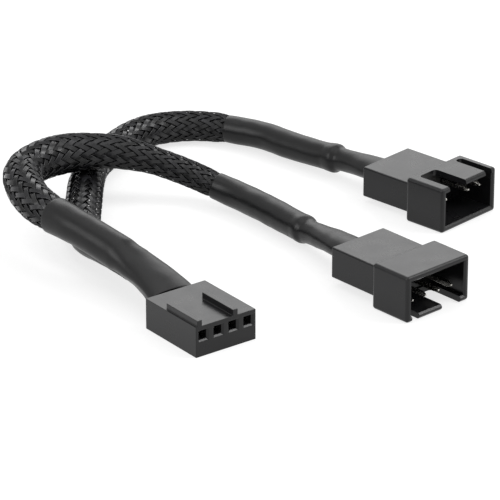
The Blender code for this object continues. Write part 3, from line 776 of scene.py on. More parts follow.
@dataclass
class BraidedSleeve:
    """Two-over-two braid round one branch, from the fork's lip to its heat-shrink."""

    TONE = "end_tone"
    GIRTH = "sleeve_radius"

    route: Route
    radii: Sequence[tuple[float, float]]
    ends_each_way: int = 16
    turn_length: float = 33.0 * MM
    end_width: float = 0.7 * MM
    threads_in_end: int = 4
    thread_height: float = 0.14 * MM
    crossing_lift: float = 0.16 * MM
    # Shift of an end's wave against its crossings, and how flat its floats are
    phase: float = -math.pi / 4
    flatness: float = 1.9
    # How far the sleeve runs on into the heat-shrinks, and its girth in there
    tuck: float = 1.6 * MM
    tuck_depth: float = 0.82
    steps_in_float: int = 10
    core_step: float = 0.5 * MM
    seed: int = 7

    @property
    def name(self) -> str:
        """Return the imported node's name."""
        return f"sleeve_{self.route.branch.value}"

    def radius_at(self, share: float) -> float:
        """Read the sleeve's radius, eased between the given ones.

        Args:
            share: The share of the sleeve's length.

        Returns:
            The radius, in metres.
        """
        last = next((i for i in range(1, len(self.radii)) if share <= self.radii[i][0]), len(self.radii) - 1)
        (s0, low), (s1, high) = self.radii[last - 1], self.radii[last]
        return (low + (high - low) * smooth_step(share, s0, s1)) * MM

    def add_inputs(self, tree: bpy.types.NodeTree) -> dict[str, str]:
        """Name the tree's inputs.

        Args:
            tree: The geometry tree.

        Returns:
            Each input's identifier by its name.
        """
        kinds = {
            "Geometry": "NodeSocketGeometry",
            "Ends Each Way": "NodeSocketInt",
            "Turns": "NodeSocketFloat",
            "First Radius": "NodeSocketFloat",
            "Tuck Share": "NodeSocketFloat",
            "Tuck Depth": "NodeSocketFloat",
            "Crossing Lift": "NodeSocketFloat",
            "End Width": "NodeSocketFloat",
            "Threads": "NodeSocketInt",
            "Thread Height": "NodeSocketFloat",
            "Points": "NodeSocketInt",
            "Seed": "NodeSocketInt",
            "Material": "NodeSocketMaterial",
        }
        found = {}
        for name, kind in kinds.items():
            found[name] = tree.interface.new_socket(name, in_out="INPUT", socket_type=kind).identifier
        tree.interface.new_socket("Geometry", in_out="OUTPUT", socket_type="NodeSocketGeometry")
        return found

    def add_profile(self, tree: bpy.types.NodeTree, given: Any) -> bpy.types.NodeSocket:
        """Make the ribbed outline of one flat end: a hump for each thread on a straight base.

        Args:
            tree: The geometry tree.
            given: The group input's sockets.

        Returns:
            The closed outline, as a curve.
        """
        add = partial(add_node, tree)
        threads = given["Threads"]
        count = add(MATH, {0: threads, 1: 2.0, 2: 1.0}, operation="MULTIPLY_ADD").outputs[0]
        row = {"Count": count, "Start Location": (0.0, 0.0, 0.0), "Offset": (1.0, 0.0, 0.0)}
        line = add("GeometryNodeMeshLine", row)
        number = add("GeometryNodeInputIndex").outputs[0]
        last = add(MATH, {0: threads, 1: 2.0}, operation="MULTIPLY").outputs[0]
        centred = {"Value": number, "From Max": last, "To Min": -0.5, "To Max": 0.5}
        across = add("ShaderNodeMapRange", centred).outputs[0]
        wide = add(MATH, {0: across, 1: given["End Width"]}, operation="MULTIPLY").outputs[0]
        hump = add(MATH, {0: number, 1: 2.0}, operation="MODULO").outputs[0]
        high = add(MATH, {0: hump, 1: given["Thread Height"]}, operation="MULTIPLY").outputs[0]
        place = add("ShaderNodeCombineXYZ", {"X": high, "Y": wide}).outputs[0]
        shaped = add("GeometryNodeSetPosition", {"Geometry": line.outputs["Mesh"], "Position": place})
        curve = add("GeometryNodeMeshToCurve", {"Mesh": shaped.outputs["Geometry"]})
        ring = {"Geometry": curve.outputs["Curve"], "Cyclic": True}
        return add("GeometryNodeSetSplineCyclic", ring).outputs["Geometry"]

    def build_tree(self) -> tuple[bpy.types.NodeTree, dict[str, str]]:
        """Build the braid as a geometry tree on the branch's centreline.

        A right-handed end meets a left-handed one where their angles agree, and
        lies over it where their two numbers add up to 0 or 1 in every 4, which
        gives columns of parallel floats that slant by turns to either side.

        Returns:
            The tree, and its inputs' identifiers by name.
        """
        tree = bpy.data.node_groups.new("Two-over-two braid", "GeometryNodeTree")
        tree.is_modifier = True
        identifiers = self.add_inputs(tree)
        add = partial(add_node, tree)
        given = add("NodeGroupInput").outputs
        each_way = given["Ends Each Way"]
        centre = add("GeometryNodeMeshToCurve", {"Mesh": given["Geometry"]})
        level = add("GeometryNodeSetCurveNormal", {"Curve": centre.outputs["Curve"]}, mode="Z_UP")
        straight = add("GeometryNodeCurvePrimitiveLine", {"End": (0.0, 0.0, 1.0)})
        stepped = {"Curve": straight.outputs["Curve"], "Count": given["Points"]}
        fine = add("GeometryNodeResampleCurve", stepped)
        both = add(MATH, {0: each_way, 1: 2.0}, operation="MULTIPLY").outputs[0]
        copies = {"Geometry": fine.outputs["Curve"], "Amount": both}
        ends = add("GeometryNodeDuplicateElements", copies, domain="SPLINE")
        share = add("GeometryNodeSplineParameter").outputs["Factor"]
        number = ends.outputs["Duplicate Index"]

        # Way is 1 for a right-handed end and -1 for a left-handed one
        half = add(MATH, {0: number, 1: each_way}, operation="DIVIDE").outputs[0]
        second = add(MATH, {0: half}, operation="FLOOR").outputs[0]
        way = add(MATH, {0: second, 1: -2.0, 2: 1.0}, operation="MULTIPLY_ADD").outputs[0]
        rank = add(MATH, {0: number, 1: each_way}, operation="MODULO").outputs[0]
        turned = add(MATH, {0: share, 1: given["Turns"]}, operation="MULTIPLY").outputs[0]
        signed = add(MATH, {0: turned, 1: way}, operation="MULTIPLY").outputs[0]
        place = add(MATH, {0: rank, 1: each_way}, operation="DIVIDE").outputs[0]
        rounds = add(MATH, {0: place, 1: signed}, operation="ADD").outputs[0]
        angle = add(MATH, {0: rounds, 1: 2 * math.pi}, operation="MULTIPLY").outputs[0]

        met = add(MATH, {0: signed, 1: each_way}, operation="MULTIPLY").outputs[0]
        total = add(MATH, {0: met, 1: rank}, operation="ADD").outputs[0]
        phase = add(MATH, {0: total, 1: math.pi, 2: self.phase}, operation="MULTIPLY_ADD").outputs[0]
        wave = add(MATH, {0: phase}, operation="COSINE").outputs[0]
        steep = add(MATH, {0: wave, 1: self.flatness}, operation="MULTIPLY").outputs[0]
        flat = add(MATH, {0: steep}, operation="TANH").outputs[0]
        over = add(MATH, {0: flat, 1: way}, operation="MULTIPLY").outputs[0]
        lifted = add(MATH, {0: over, 1: given["Crossing Lift"]}, operation="MULTIPLY").outputs[0]

        girth = add("GeometryNodeInputNamedAttribute", {"Name": self.GIRTH}, data_type="FLOAT")
        read = {"Curves": level.outputs["Curve"], "Value": girth.outputs["Attribute"], "Factor": share}
        sample = add("GeometryNodeSampleCurve", read, mode="FACTOR").outputs
        left = add(MATH, {0: 1.0, 1: share}, operation="SUBTRACT").outputs[0]
        tucks = []
        for reached in (share, left):
            tuck = {"Value": reached, "From Max": given["Tuck Share"], "To Min": given["Tuck Depth"]}
            eased = add("ShaderNodeMapRange", {**tuck, "To Max": 1.0}, interpolation_type="SMOOTHSTEP")
            tucks.append(eased.outputs[0])
        tucked = add(MATH, dict(enumerate(tucks)), operation="MULTIPLY").outputs[0]
        plain = add(MATH, {0: sample["Value"], 1: tucked}, operation="MULTIPLY").outputs[0]
        radius = add(MATH, {0: plain, 1: lifted}, operation="ADD").outputs[0]
        narrowed = add(MATH, {0: plain, 1: given["First Radius"]}, operation="DIVIDE").outputs[0]

        side = sample["Normal"]
        up = add(VECTOR_MATH, {0: sample["Tangent"], 1: side}, operation="CROSS_PRODUCT").outputs[0]
        cosine = add(MATH, {0: angle}, operation="COSINE").outputs[0]
        sine = add(MATH, {0: angle}, operation="SINE").outputs[0]
        level_part = add(VECTOR_MATH, {0: side, "Scale": cosine}, operation="SCALE").outputs[0]
        upper_part = add(VECTOR_MATH, {0: up, "Scale": sine}, operation="SCALE").outputs[0]
        outward = add(VECTOR_MATH, {0: level_part, 1: upper_part}, operation="ADD").outputs[0]
        reach = add(VECTOR_MATH, {0: outward, "Scale": radius}, operation="SCALE").outputs[0]
        position = add(VECTOR_MATH, {0: sample["Position"], 1: reach}, operation="ADD").outputs[0]

        chance = {"ID": number, "Seed": given["Seed"]}
        tone = add("FunctionNodeRandomValue", chance, data_type="FLOAT").outputs["Value"]
        kept = add("GeometryNodeCaptureAttribute", {"Geometry": ends.outputs["Geometry"]})
        captured = (("VECTOR", "Outward", outward), ("FLOAT", "Narrowed", narrowed), ("FLOAT", "Tone", tone))
        for index, (kind, name, source) in enumerate(captured, start=1):
            kept.capture_items.new(kind, name)
            tree.links.new(source, kept.inputs[index])
        moved = {"Geometry": kept.outputs["Geometry"], "Position": position}
        laid = add("GeometryNodeSetPosition", moved)
        faced = {"Curve": laid.outputs["Geometry"], "Normal": kept.outputs["Outward"]}
        facing = add("GeometryNodeSetCurveNormal", faced, mode="FREE")
        sweep = {
            "Curve": facing.outputs["Curve"],
            "Profile Curve": self.add_profile(tree, given),
            "Scale": kept.outputs["Narrowed"],
            "Fill Caps": True,
        }
        swept = add("GeometryNodeCurveToMesh", sweep)
        stored = {"Geometry": swept.outputs["Mesh"], "Name": self.TONE, "Value": kept.outputs["Tone"]}
        toned = add("GeometryNodeStoreNamedAttribute", stored, data_type="FLOAT", domain="POINT")
        smooth = add("GeometryNodeSetShadeSmooth", {"Geometry": toned.outputs["Geometry"]})
        real = add("GeometryNodeRealizeInstances", {"Geometry": smooth.outputs["Geometry"]})
        finish = {"Geometry": real.outputs["Geometry"], "Material": given["Material"]}
        dressed = add("GeometryNodeSetMaterial", finish)
        add("NodeGroupOutput", {"Geometry": dressed.outputs["Geometry"]})
        return tree, identifiers

    def build(self, material: bpy.types.Material) -> bpy.types.Object:
        """Weave the sleeve along its branch.

        Args:
            material: The braid's finish.

        Returns:
            The sleeve as a plain mesh.
        """
        start = self.route.lip - self.tuck
        end = self.route.mouth + self.tuck
        length = end - start
        turns = length / self.turn_length
        points = self.route.between(start, end, self.core_step)
        bm = bmesh.new()
        verts = [bm.verts.new(p) for p in points]
        for a, b in zip(verts, verts[1:]):
            bm.edges.new((a, b))
        core = link(f"{self.name}_centreline", mesh_of("centreline", bm, recalculate=False))
        girth = core.data.attributes.new(self.GIRTH, "FLOAT", "POINT")
        for i, value in enumerate(girth.data):
            value.value = self.radius_at(i / (len(points) - 1))
        tree, identifiers = self.build_tree()
        modifier = core.modifiers.new("Braid", "NODES")
        modifier.node_group = tree
        values = {
            "Ends Each Way": self.ends_each_way,
            "Turns": turns,
            "First Radius": self.radii[0][1] * MM,
            "Tuck Share": 2 * self.tuck / length,
            "Tuck Depth": self.tuck_depth,
            "Crossing Lift": self.crossing_lift,
            "End Width": self.end_width,
            "Threads": self.threads_in_end,
            "Thread Height": self.thread_height,
            "Points": round(turns * self.ends_each_way * self.steps_in_float / 2),
            "Seed": self.seed,
            "Material": material,
        }
        for name, value in values.items():
            modifier[identifiers[name]] = value
        sleeve = baked(core, f"braid_{self.route.branch.value}")
        finish_piece(sleeve, material, self.name)
        return sleeve


def read_sections(table: Sequence[Section], share: float) -> tuple[float, float]:
    """Read a smooth half width and half height from a section table.

    Args:
        table: Rows of share of the length, half width and half height, in millimetres.
        share: The share of the length, from 0 to 1.

    Returns:
        The half width and the half height, in metres.
    """
    count = len(table)
    slopes = []
    for i in range(count):
        before, after = table[max(i - 1, 0)], table[min(i + 1, count - 1)]
        run = after[0] - before[0]
        slopes.append([(after[k] - before[k]) / run for k in (1, 2)])
    last = next((i for i in range(1, count) if share <= table[i][0]), count - 1)
    (s0, *low), (s1, *high) = table[last - 1], table[last]
    run = s1 - s0
    t = min(max((share - s0) / run, 0.0), 1.0)
    values = []
    for k in range(2):
        rise = t * t * (3 - 2 * t)
        lean = t * (1 - t) * ((1 - t) * slopes[last - 1][k] - t * slopes[last][k]) * run
        values.append((low[k] + (high[k] - low[k]) * rise + lean) * MM)
    return values[0], values[1]


def rippled(point: Vector, size: float, depth: float) -> float:
    """Return a smooth uneven height, from -depth to depth, that changes over a size."""
    return noise.noise(point / size) * depth


def around(side: Vector, up: Vector, half_width: float, half_height: float, angle: float) -> Vector:
    """Find a point of an oval section.

    Args:
        side: The section's level axis.
        up: Its upper axis.
        half_width: Half its width.
        half_height: Half its height.
        angle: The direction of the point, from side to up.

    Returns:
        The way from the section's middle to the point.
    """
    return side * half_width * math.cos(angle) + up * half_height * math.sin(angle)


@dataclass
class ForkShrink:
    """Forked heat-shrink: a flat trunk at the crimp housing that opens into two round lobes."""

    upper: Route
    lower: Route
    trunk_sections: tuple[Section, ...] = (
        (0.0, 3.6, 1.1),
        (0.26, 3.3, 1.35),
        (0.55, 3.0, 1.9),
        (0.71, 2.75, 2.2),
        (0.77, 2.7, 2.45),
        (0.85, 2.6, 2.5),
        (1.0, 2.55, 2.5),
    )
    lobe_sections: tuple[Section, ...] = (
        (0.0, 2.55, 2.5),
        (0.4, 2.5, 2.5),
        (0.75, 2.62, 2.62),
        (1.0, 2.72, 2.72),
    )
    crotch_share: float = 0.6
    # The valley between the lobes: where it starts, how deep it gets as a share
    # of the section, and how narrow it is
    valley_start: float = 0.62
    valley_depth: float = 0.92
    valley_power: float = 1.4
    gap: float = 0.3 * MM
    wall: float = 0.4 * MM
    rim: float = 0.12 * MM
    arc_points: int = 26
    waist_points: int = 4
    web_points: int = 5
    trunk_rings: int = 48
    lobe_rings: int = 30
    wrinkle: float = 2.6 * MM
    wrinkle_depth: float = 0.07 * MM
    # Share of the trunk from which its wrinkles fade out, and shares of a lobe by
    # which they are back and its section is round
    trunk_calm: float = 0.7
    lobe_calm: float = 0.3
    lobe_round: float = 0.6

    def trunk_ring(self, share: float) -> tuple[list[Vector], float]:
        """Lay one ring of the trunk round both branches.

        Args:
            share: The share of the way from the housing to the crotch.

        Returns:
            The ring's points, and the heading from the lower to the upper branch.
        """
        half_width, half_height = read_sections(self.trunk_sections, share)
        start_a, end_a = self.gap, self.upper.lip * self.crotch_share
        start_b, end_b = self.gap, self.lower.lip * self.crotch_share
        centre_a, side_a, up_a = self.upper.frame(start_a + (end_a - start_a) * share)
        centre_b, side_b, up_b = self.lower.frame(start_b + (end_b - start_b) * share)
        side = (side_a + side_b).normalized()
        up = (up_a + up_b).normalized()
        apart = centre_a - centre_b
        heading = math.atan2(apart.dot(up) / half_height, apart.dot(side) / half_width)
        valley = self.valley_depth * smooth_step(share, self.valley_start, 1.0)
        ring: list[Vector] = []
        for centre, other, first in (
            (centre_a, centre_b, heading - math.pi / 2),
            (centre_b, centre_a, heading + math.pi / 2),
        ):
            for k in range(self.arc_points):
                angle = first + math.pi * k / (self.arc_points - 1)
                ring.append(centre + around(side, up, half_width, half_height, angle))
            last = around(side, up, half_width, half_height, first + math.pi)
            steps = 2 * self.waist_points + 2
            for k in range(1, steps):
                t = k / steps
                sunk = last * (1 - valley * math.sin(math.pi * t) ** self.valley_power)
                ring.append(centre.lerp(other, t) + sunk)
        return ring, heading

    def lobe_shape(self, heading: float) -> list[tuple[float, float]]:
        """Lay out the round section in the order of a lobe's ring at the crotch.

        Args:
            heading: The direction of the outer arc's middle, from the branch's level side.

        Returns:
            The section's points, a unit from its middle.
        """
        first = heading - math.pi / 2
        angles = [first + math.pi * k / (self.arc_points - 1) for k in range(self.arc_points)]
        inner = 2 * self.waist_points + 2 + self.web_points
        angles += [heading + math.pi / 2 + math.pi * k / (inner + 1) for k in range(1, inner + 1)]
        return [(math.cos(angle), math.sin(angle)) for angle in angles]

    def add_lobe(
        self, bm: bmesh.types.BMesh, ring: list[bmesh.types.BMVert], route: Route, heading: float
    ) -> None:
        """Run one lobe from the crotch to its lip.

        Args:
            bm: The fork's bmesh.
            ring: The lobe's points at the crotch, its outer arc first.
            route: The branch's centreline.
            heading: The direction of the outer arc's middle, from the branch's level side.
        """
        start = route.lip * self.crotch_share
        centre, side, up = route.frame(start)
        axes = Matrix((side, up, up.cross(side)))
        pinched = [axes @ (v.co - centre) for v in ring]
        near = ring
        for i in range(1, self.lobe_rings + 1):
            share = i / self.lobe_rings
            half_width, half_height = read_sections(self.lobe_sections, share)
            centre, side, up = route.frame(start + (route.lip - start) * share)
            round_share = smooth_step(share, 0.0, self.lobe_round)
            depth = self.wrinkle_depth * smooth_step(share, 0.0, self.lobe_calm)
            far = []
            for first, (cosine, sine) in zip(pinched, self.lobe_shape(heading)):
                last = Vector((half_width * cosine, half_height * sine, 0))
                x, z, ahead = first.lerp(last, round_share)
                point = centre + side * x + up * z + up.cross(side) * ahead
                swell = 1 + rippled(point, self.wrinkle, depth) / half_width
                far.append(bm.verts.new(centre + (point - centre) * swell))
            bridge(bm, near, far)
            near = far

    def build(self, material: bpy.types.Material) -> bpy.types.Object:
        """Make the fork.

        Args:
            material: The heat-shrink's finish.

        Returns:
            The fork as a plain mesh.
        """
        bm = bmesh.new()
        near: list[bmesh.types.BMVert] = []
        heading = 0.0
        for i in range(self.trunk_rings + 1):
            share = i / self.trunk_rings
            points, heading = self.trunk_ring(share)
            middle = sum(points, Vector()) / len(points)
            depth = self.wrinkle_depth * (1 - smooth_step(share, self.trunk_calm, 1.0))
            ring = []
            for point in points:
                reach = (point - middle).length
                swell = 1 + rippled(point, self.wrinkle, depth) / reach
                ring.append(bm.verts.new(middle + (point - middle) * swell))
            if near:
                bridge(bm, near, ring)
            near = ring
        half = len(near) // 2
        valley_a = self.arc_points + self.waist_points
        valley_b = half + valley_a
        web = []
        for k in range(1, self.web_points + 1):
            share = k / (self.web_points + 1)
            web.append(bm.verts.new(near[valley_a].co.lerp(near[valley_b].co, share)))
        ring_a = [*near[: valley_a + 1], *web, *near[valley_b:]]
        ring_b = [*near[half : valley_b + 1], *reversed(web), *near[valley_a:half]]
        self.add_lobe(bm, ring_a, self.upper, heading)
        self.add_lobe(bm, ring_b, self.lower, heading + math.pi)
        bm.normal_update()
        skin = link("fork_skin", mesh_of("fork_skin", bm))
        skin.data.shade_smooth()
        add_wall(skin, self.wall, self.rim)
        fork = baked(skin, "forked_shrink")
        finish_piece(fork, material, "fork_heat_shrink")
        return fork


@dataclass
class EndShrink:
    """Heat-shrink of a shrouded end: round over the braid, a step where the braid stops, then flat."""

    route: Route
    sections: tuple[Section, ...]
    gap: float = 0.3 * MM
    wall: float = 0.35 * MM
    rim: float = 0.1 * MM
    sides: int = 56
    rings: int = 96
    wrinkle: float = 2.2 * MM
    wrinkle_depth: float = 0.06 * MM

    def build(self, material: bpy.types.Material) -> bpy.types.Object:
        """Make the heat-shrink.

        Args:
            material: The heat-shrink's finish.

        Returns:
            The tube as a plain mesh.
        """
        start, end = self.route.mouth, self.route.length - self.gap
        bm = bmesh.new()
        near: list[bmesh.types.BMVert] = []
        for i in range(self.rings + 1):
            share = i / self.rings
            half_width, half_height = read_sections(self.sections, share)
            centre, side, up = self.route.frame(start + (end - start) * share)
            ring = []
            for k in range(self.sides):
                angle = 2 * math.pi * k / self.sides
                offset = around(side, up, half_width, half_height, angle)
                swell = 1 + rippled(centre + offset, self.wrinkle, self.wrinkle_depth) / half_width
                ring.append(bm.verts.new(centre + offset * swell))
            if near:
                bridge(bm, near, ring)
            near = ring
        branch = self.route.branch.value
        skin = link("tube_skin", mesh_of("tube_skin", bm))
        skin.data.shade_smooth()
        add_wall(skin, self.wall, self.rim)
        tube = baked(skin, f"end_shrink_{branch}")
        finish_piece(tube, material, f"heat_shrink_{branch}")
        return tube


@dataclass
class BoxTool:
    """One box of a housing, from its low corner to its high corner, in millimetres."""

    low: Point
    high: Point
    end_inset: float = 0.0

    def add_to(self, bm: bmesh.types.BMesh) -> None:
        """Add the box's six faces, of which the one at the high y is narrowed by end_inset.

        Args:
            bm: The bmesh that gets them.
        """
        corners = []
        for y, inset in ((self.low[1], 0.0), (self.high[1], self.end_inset)):
            x0, x1 = self.low[0] + inset, self.high[0] - inset
            z0, z1 = self.low[2] + inset, self.high[2] - inset
            row = ((x0, y, z0), (x1, y, z0), (x1, y, z1), (x0, y, z1))
            corners.append([bm.verts.new(Vector(p) * MM) for p in row])
        near, far = corners
        bm.faces.new(near)
        bm.faces.new(list(reversed(far)))
        bridge(bm, near, far)


def boxes(name: str, *tools: BoxTool) -> bpy.types.Object:
    """Make an object that holds boxes.

    Args:
        name: The object's name.
        *tools: The boxes.

    Returns:
        The new object.
    """
    bm = bmesh.new()
    for tool in tools:
        tool.add_to(bm)
    return link(name, mesh_of(name, bm))


def add_bevel(obj: bpy.types.Object, width: float, segments: int, angle: float = 40.0) -> None:
    """Round an object's edges.

    Args:
        obj: The object.
        width: The rounding's width, in millimetres.
        segments: How many faces make it.
        angle: The least angle between faces that counts as an edge, in degrees.
    """
    modifier = obj.modifiers.new("Edges", "BEVEL")
    modifier.width = width * MM
    modifier.segments = segments
    modifier.limit_method = "ANGLE"
    modifier.angle_limit = math.radians(angle)


def add_wall(obj: bpy.types.Object, wall: float, rim: float) -> None:
    """Give a skin its wall, inwards, and round its rims.

    Args:
        obj: The skin.
        wall: The wall's thickness, in metres.
        rim: The rounding of the rims, in metres.
    """
    modifier = obj.modifiers.new("Wall", "SOLIDIFY")
    modifier.thickness = wall
    modifier.offset = -1.0
    add_bevel(obj, rim / MM, segments=2, angle=60.0)


def carve(obj: bpy.types.Object, tool: bpy.types.Object, operation: Boolean = Boolean.CUT) -> None:
    """Cut a tool out of an object, or join it to the object.

    Args:
        obj: The object.
        tool: The tool, which goes when the object is baked.
        operation: What the tool does.
    """
    tool.hide_render = True
    modifier = obj.modifiers.new(tool.name, "BOOLEAN")
    modifier.operation = operation.value
    modifier.solver = "EXACT"
    modifier.object = tool


def finish_piece(obj: bpy.types.Object, material: bpy.types.Material, node: str) -> None:
    """Dress a piece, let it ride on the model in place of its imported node, and report it.

    Args:
        obj: The piece.
        material: Its finish.
        node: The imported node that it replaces.
    """
    obj.data.materials.clear()
    obj.data.materials.append(material)
    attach(obj, "root")
    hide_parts(node)
    LOG.info("%s: %d faces", obj.name, len(obj.data.polygons))


def at_housing(place: tuple[float, float], heading: float, lift: float, upside_down: bool = False) -> Matrix:
    """Return a housing's place, with its contact row at the origin and its rear along +Y.

    Args:
        place: Where its mating face stands on the ground, in millimetres.
        heading: How far it is turned about +Z, in degrees.
        lift: The height of its contact row, in millimetres.
        upside_down: Whether its keyed side is down.

    Returns:
        The matrix that takes the housing there.
    """
    roll = Matrix.Rotation(math.pi if upside_down else 0.0, 4, "Y")
    turn = Matrix.Rotation(math.radians(heading), 4, "Z")
    return Matrix.Translation(Vector((*place, lift)) * MM) @ turn @ roll


@dataclass
class CrimpHousing:
    """Female housing: a block with four square holes, two guide ribs and a wire entry.

    Sizes are in millimetres from the contact row at the mating face.
    """

    place: Matrix
    half_width: float = 5.08
    length: float = 11.8
    bottom: float = -3.1
    top: float = 1.5
    pitch: float = 2.54
    hole: float = 1.2
    hole_lead: float = 0.3
    front_wall: float = 1.5
    cavity_half: float = 1.0
    cavity_low: float = -2.5
    cavity_high: float = 1.0
    entry_half: float = 4.6
    entry_start: float = 9.0
    rib_lefts: tuple[float, float] = (-4.83, 1.22)
    rib_width: float = 0.8
    rib_height: float = 0.9
    rib_root: float = 1.0
    rib_length: float = 7.2
    edge: float = 0.16

    def build(self, material: bpy.types.Material) -> bpy.types.Object:
        """Make the housing.

        Args:
            material: The moulded plastic.

        Returns:
            The housing as a plain mesh.
        """
        outside = BoxTool((-self.half_width, 0, self.bottom), (self.half_width, self.length, self.top))
        block = boxes("crimp_block", outside)
        ribs = []
        for left in self.rib_lefts:
            high = (left + self.rib_width, self.rib_length, self.top + self.rib_height)
            ribs.append(BoxTool((left, 0, self.top - self.rib_root), high))
        carve(block, boxes("ribs", *ribs), Boolean.JOIN)
        holes, leads, cavities = [], [], []
        r = self.hole / 2
        wide = r + 2 * self.hole_lead
        for contact in Contact:
            x = (contact.value - ROW_MIDDLE) * self.pitch
            holes.append(BoxTool((x - r, -OVERSHOOT, -r), (x + r, self.front_wall + OVERLAP, r)))
            low = (x - wide, -self.hole_lead, -wide)
            high = (x + wide, 2 * self.hole_lead, wide)
            leads.append(BoxTool(low, high, end_inset=3 * self.hole_lead))
            low = (x - self.cavity_half, self.front_wall, self.cavity_low)
            high = (x + self.cavity_half, self.entry_start + OVERLAP, self.cavity_high)
            cavities.append(BoxTool(low, high))
        low = (-self.entry_half, self.entry_start, self.cavity_low)
        high = (self.entry_half, self.length + OVERSHOOT, self.cavity_high)
        carve(block, boxes("hole_leads", *leads))
        carve(block, boxes("holes", *holes))
        carve(block, boxes("cavities", *cavities))
        carve(block, boxes("wire_entry", BoxTool(low, high)))
        add_bevel(block, self.edge, segments=4)
        housing = baked(block, "crimp_housing", self.place)
        finish_piece(housing, material, "female_housing")
        return housing


@dataclass
class ShroudedHousing:
    """Male housing: a thin shroud with a keying tongue between two slots, and a body behind it.

    Sizes are in millimetres from the contact row at the mating face.
    """

    branch: Branch
    place: Matrix
    shroud_half: float = 6.1
    shroud_length: float = 7.1
    shroud_bottom: float = -4.45
    shroud_top: float = 2.53
    side_wall: float = 0.95
    flat_wall: float = 0.9
    depth: float = 6.3
    lead: float = 0.25
    slots: tuple[tuple[float, float], ...] = ((-4.45, -0.75), (3.65, 5.05))
    slot_length: float = 6.0
    slot_corner: float = 0.6
    body_root: float = 2.0
    body_half: float = 5.08
    body_bottom: float = -3.49
    body_top: float = 1.21
    length: float = 16.4
    web_end: float = 7.8
    pitch: float = 2.54
    pin_hole: float = 1.0
    cavity_half: float = 1.0
    cavity_low: float = -2.9
    cavity_high: float = 0.7
    entry_half: float = 4.6
    entry_start: float = 13.4
    shroud_edge: float = 0.5
    body_edge: float = 0.2
    edge: float = 0.1

    def outside(self) -> bpy.types.Object:
        """Make the shroud with the body behind it, both solid.

        Returns:
            The shroud, which has the body as a tool.
        """
        low = (-self.shroud_half, 0, self.shroud_bottom)
        high = (self.shroud_half, self.shroud_length, self.shroud_top)
        shroud = boxes("shroud", BoxTool(low, high))
        add_bevel(shroud, self.shroud_edge, segments=8)
        low = (-self.body_half, self.shroud_length - self.body_root, self.body_bottom)
        high = (self.body_half, self.length, self.body_top)
        body = boxes("body", BoxTool(low, high))
        add_bevel(body, self.body_edge, segments=3)
        carve(shroud, body, Boolean.JOIN)
        return shroud

    def cut_mouth(self, shroud: bpy.types.Object) -> None:
        """Hollow the shroud, chamfer its mouth and open the two slots beside the tongue.

        Args:
            shroud: The solid shroud.
        """
        half = self.shroud_half - self.side_wall
        low = self.shroud_bottom + self.flat_wall
        high = self.shroud_top - self.flat_wall
        carve(shroud, boxes("mouth", BoxTool((-half, -OVERSHOOT, low), (half, self.depth, high))))
        lead = self.lead
        lead_low = (-half - 2 * lead, -lead, low - 2 * lead)
        lead_high = (half + 2 * lead, 2 * lead, high + 2 * lead)
        carve(shroud, boxes("mouth_lead", BoxTool(lead_low, lead_high, end_inset=3 * lead)))
        openings = []
        for left, right in self.slots:
            slot_high = (right, self.slot_length, self.shroud_top + OVERSHOOT)
            openings.append(BoxTool((left, -OVERSHOOT, high - OVERSHOOT), slot_high))
        slots = boxes("slots", *openings)
        add_bevel(slots, self.slot_corner, segments=8)
        carve(shroud, slots)

    def cut_cavities(self, shroud: bpy.types.Object) -> None:
        """Open the pin holes, the contact cavities and the wire entry.

        Args:
            shroud: The hollowed shroud.
        """
        holes, cavities = [], []
        r = self.pin_hole / 2
        for contact in Contact:
            x = (ROW_MIDDLE - contact.value) * self.pitch
            holes.append(BoxTool((x - r, self.depth - OVERLAP, -r), (x + r, self.web_end + OVERLAP, r)))
            low = (x - self.cavity_half, self.web_end, self.cavity_low)
            high = (x + self.cavity_half, self.entry_start + OVERLAP, self.cavity_high)
            cavities.append(BoxTool(low, high))
        low = (-self.entry_half, self.entry_start, self.cavity_low)
        high = (self.entry_half, self.length + OVERSHOOT, self.cavity_high)
        carve(shroud, boxes("contact_cavities", *cavities))
        carve(shroud, boxes("pin_holes", *holes))
        carve(shroud, boxes("cable_entry", BoxTool(low, high)))

    def build(self, material: bpy.types.Material) -> bpy.types.Object:
        """Make the housing.

        Args:
            material: The moulded plastic.

        Returns:
            The housing as a plain mesh.
        """
        shroud = self.outside()
        self.cut_mouth(shroud)
        self.cut_cavities(shroud)
        add_bevel(shroud, self.edge, segments=3)
        housing = baked(shroud, f"shrouded_housing_{self.branch.value}", self.place)
        finish_piece(housing, material, f"male_housing_{self.branch.value}")
        return housing


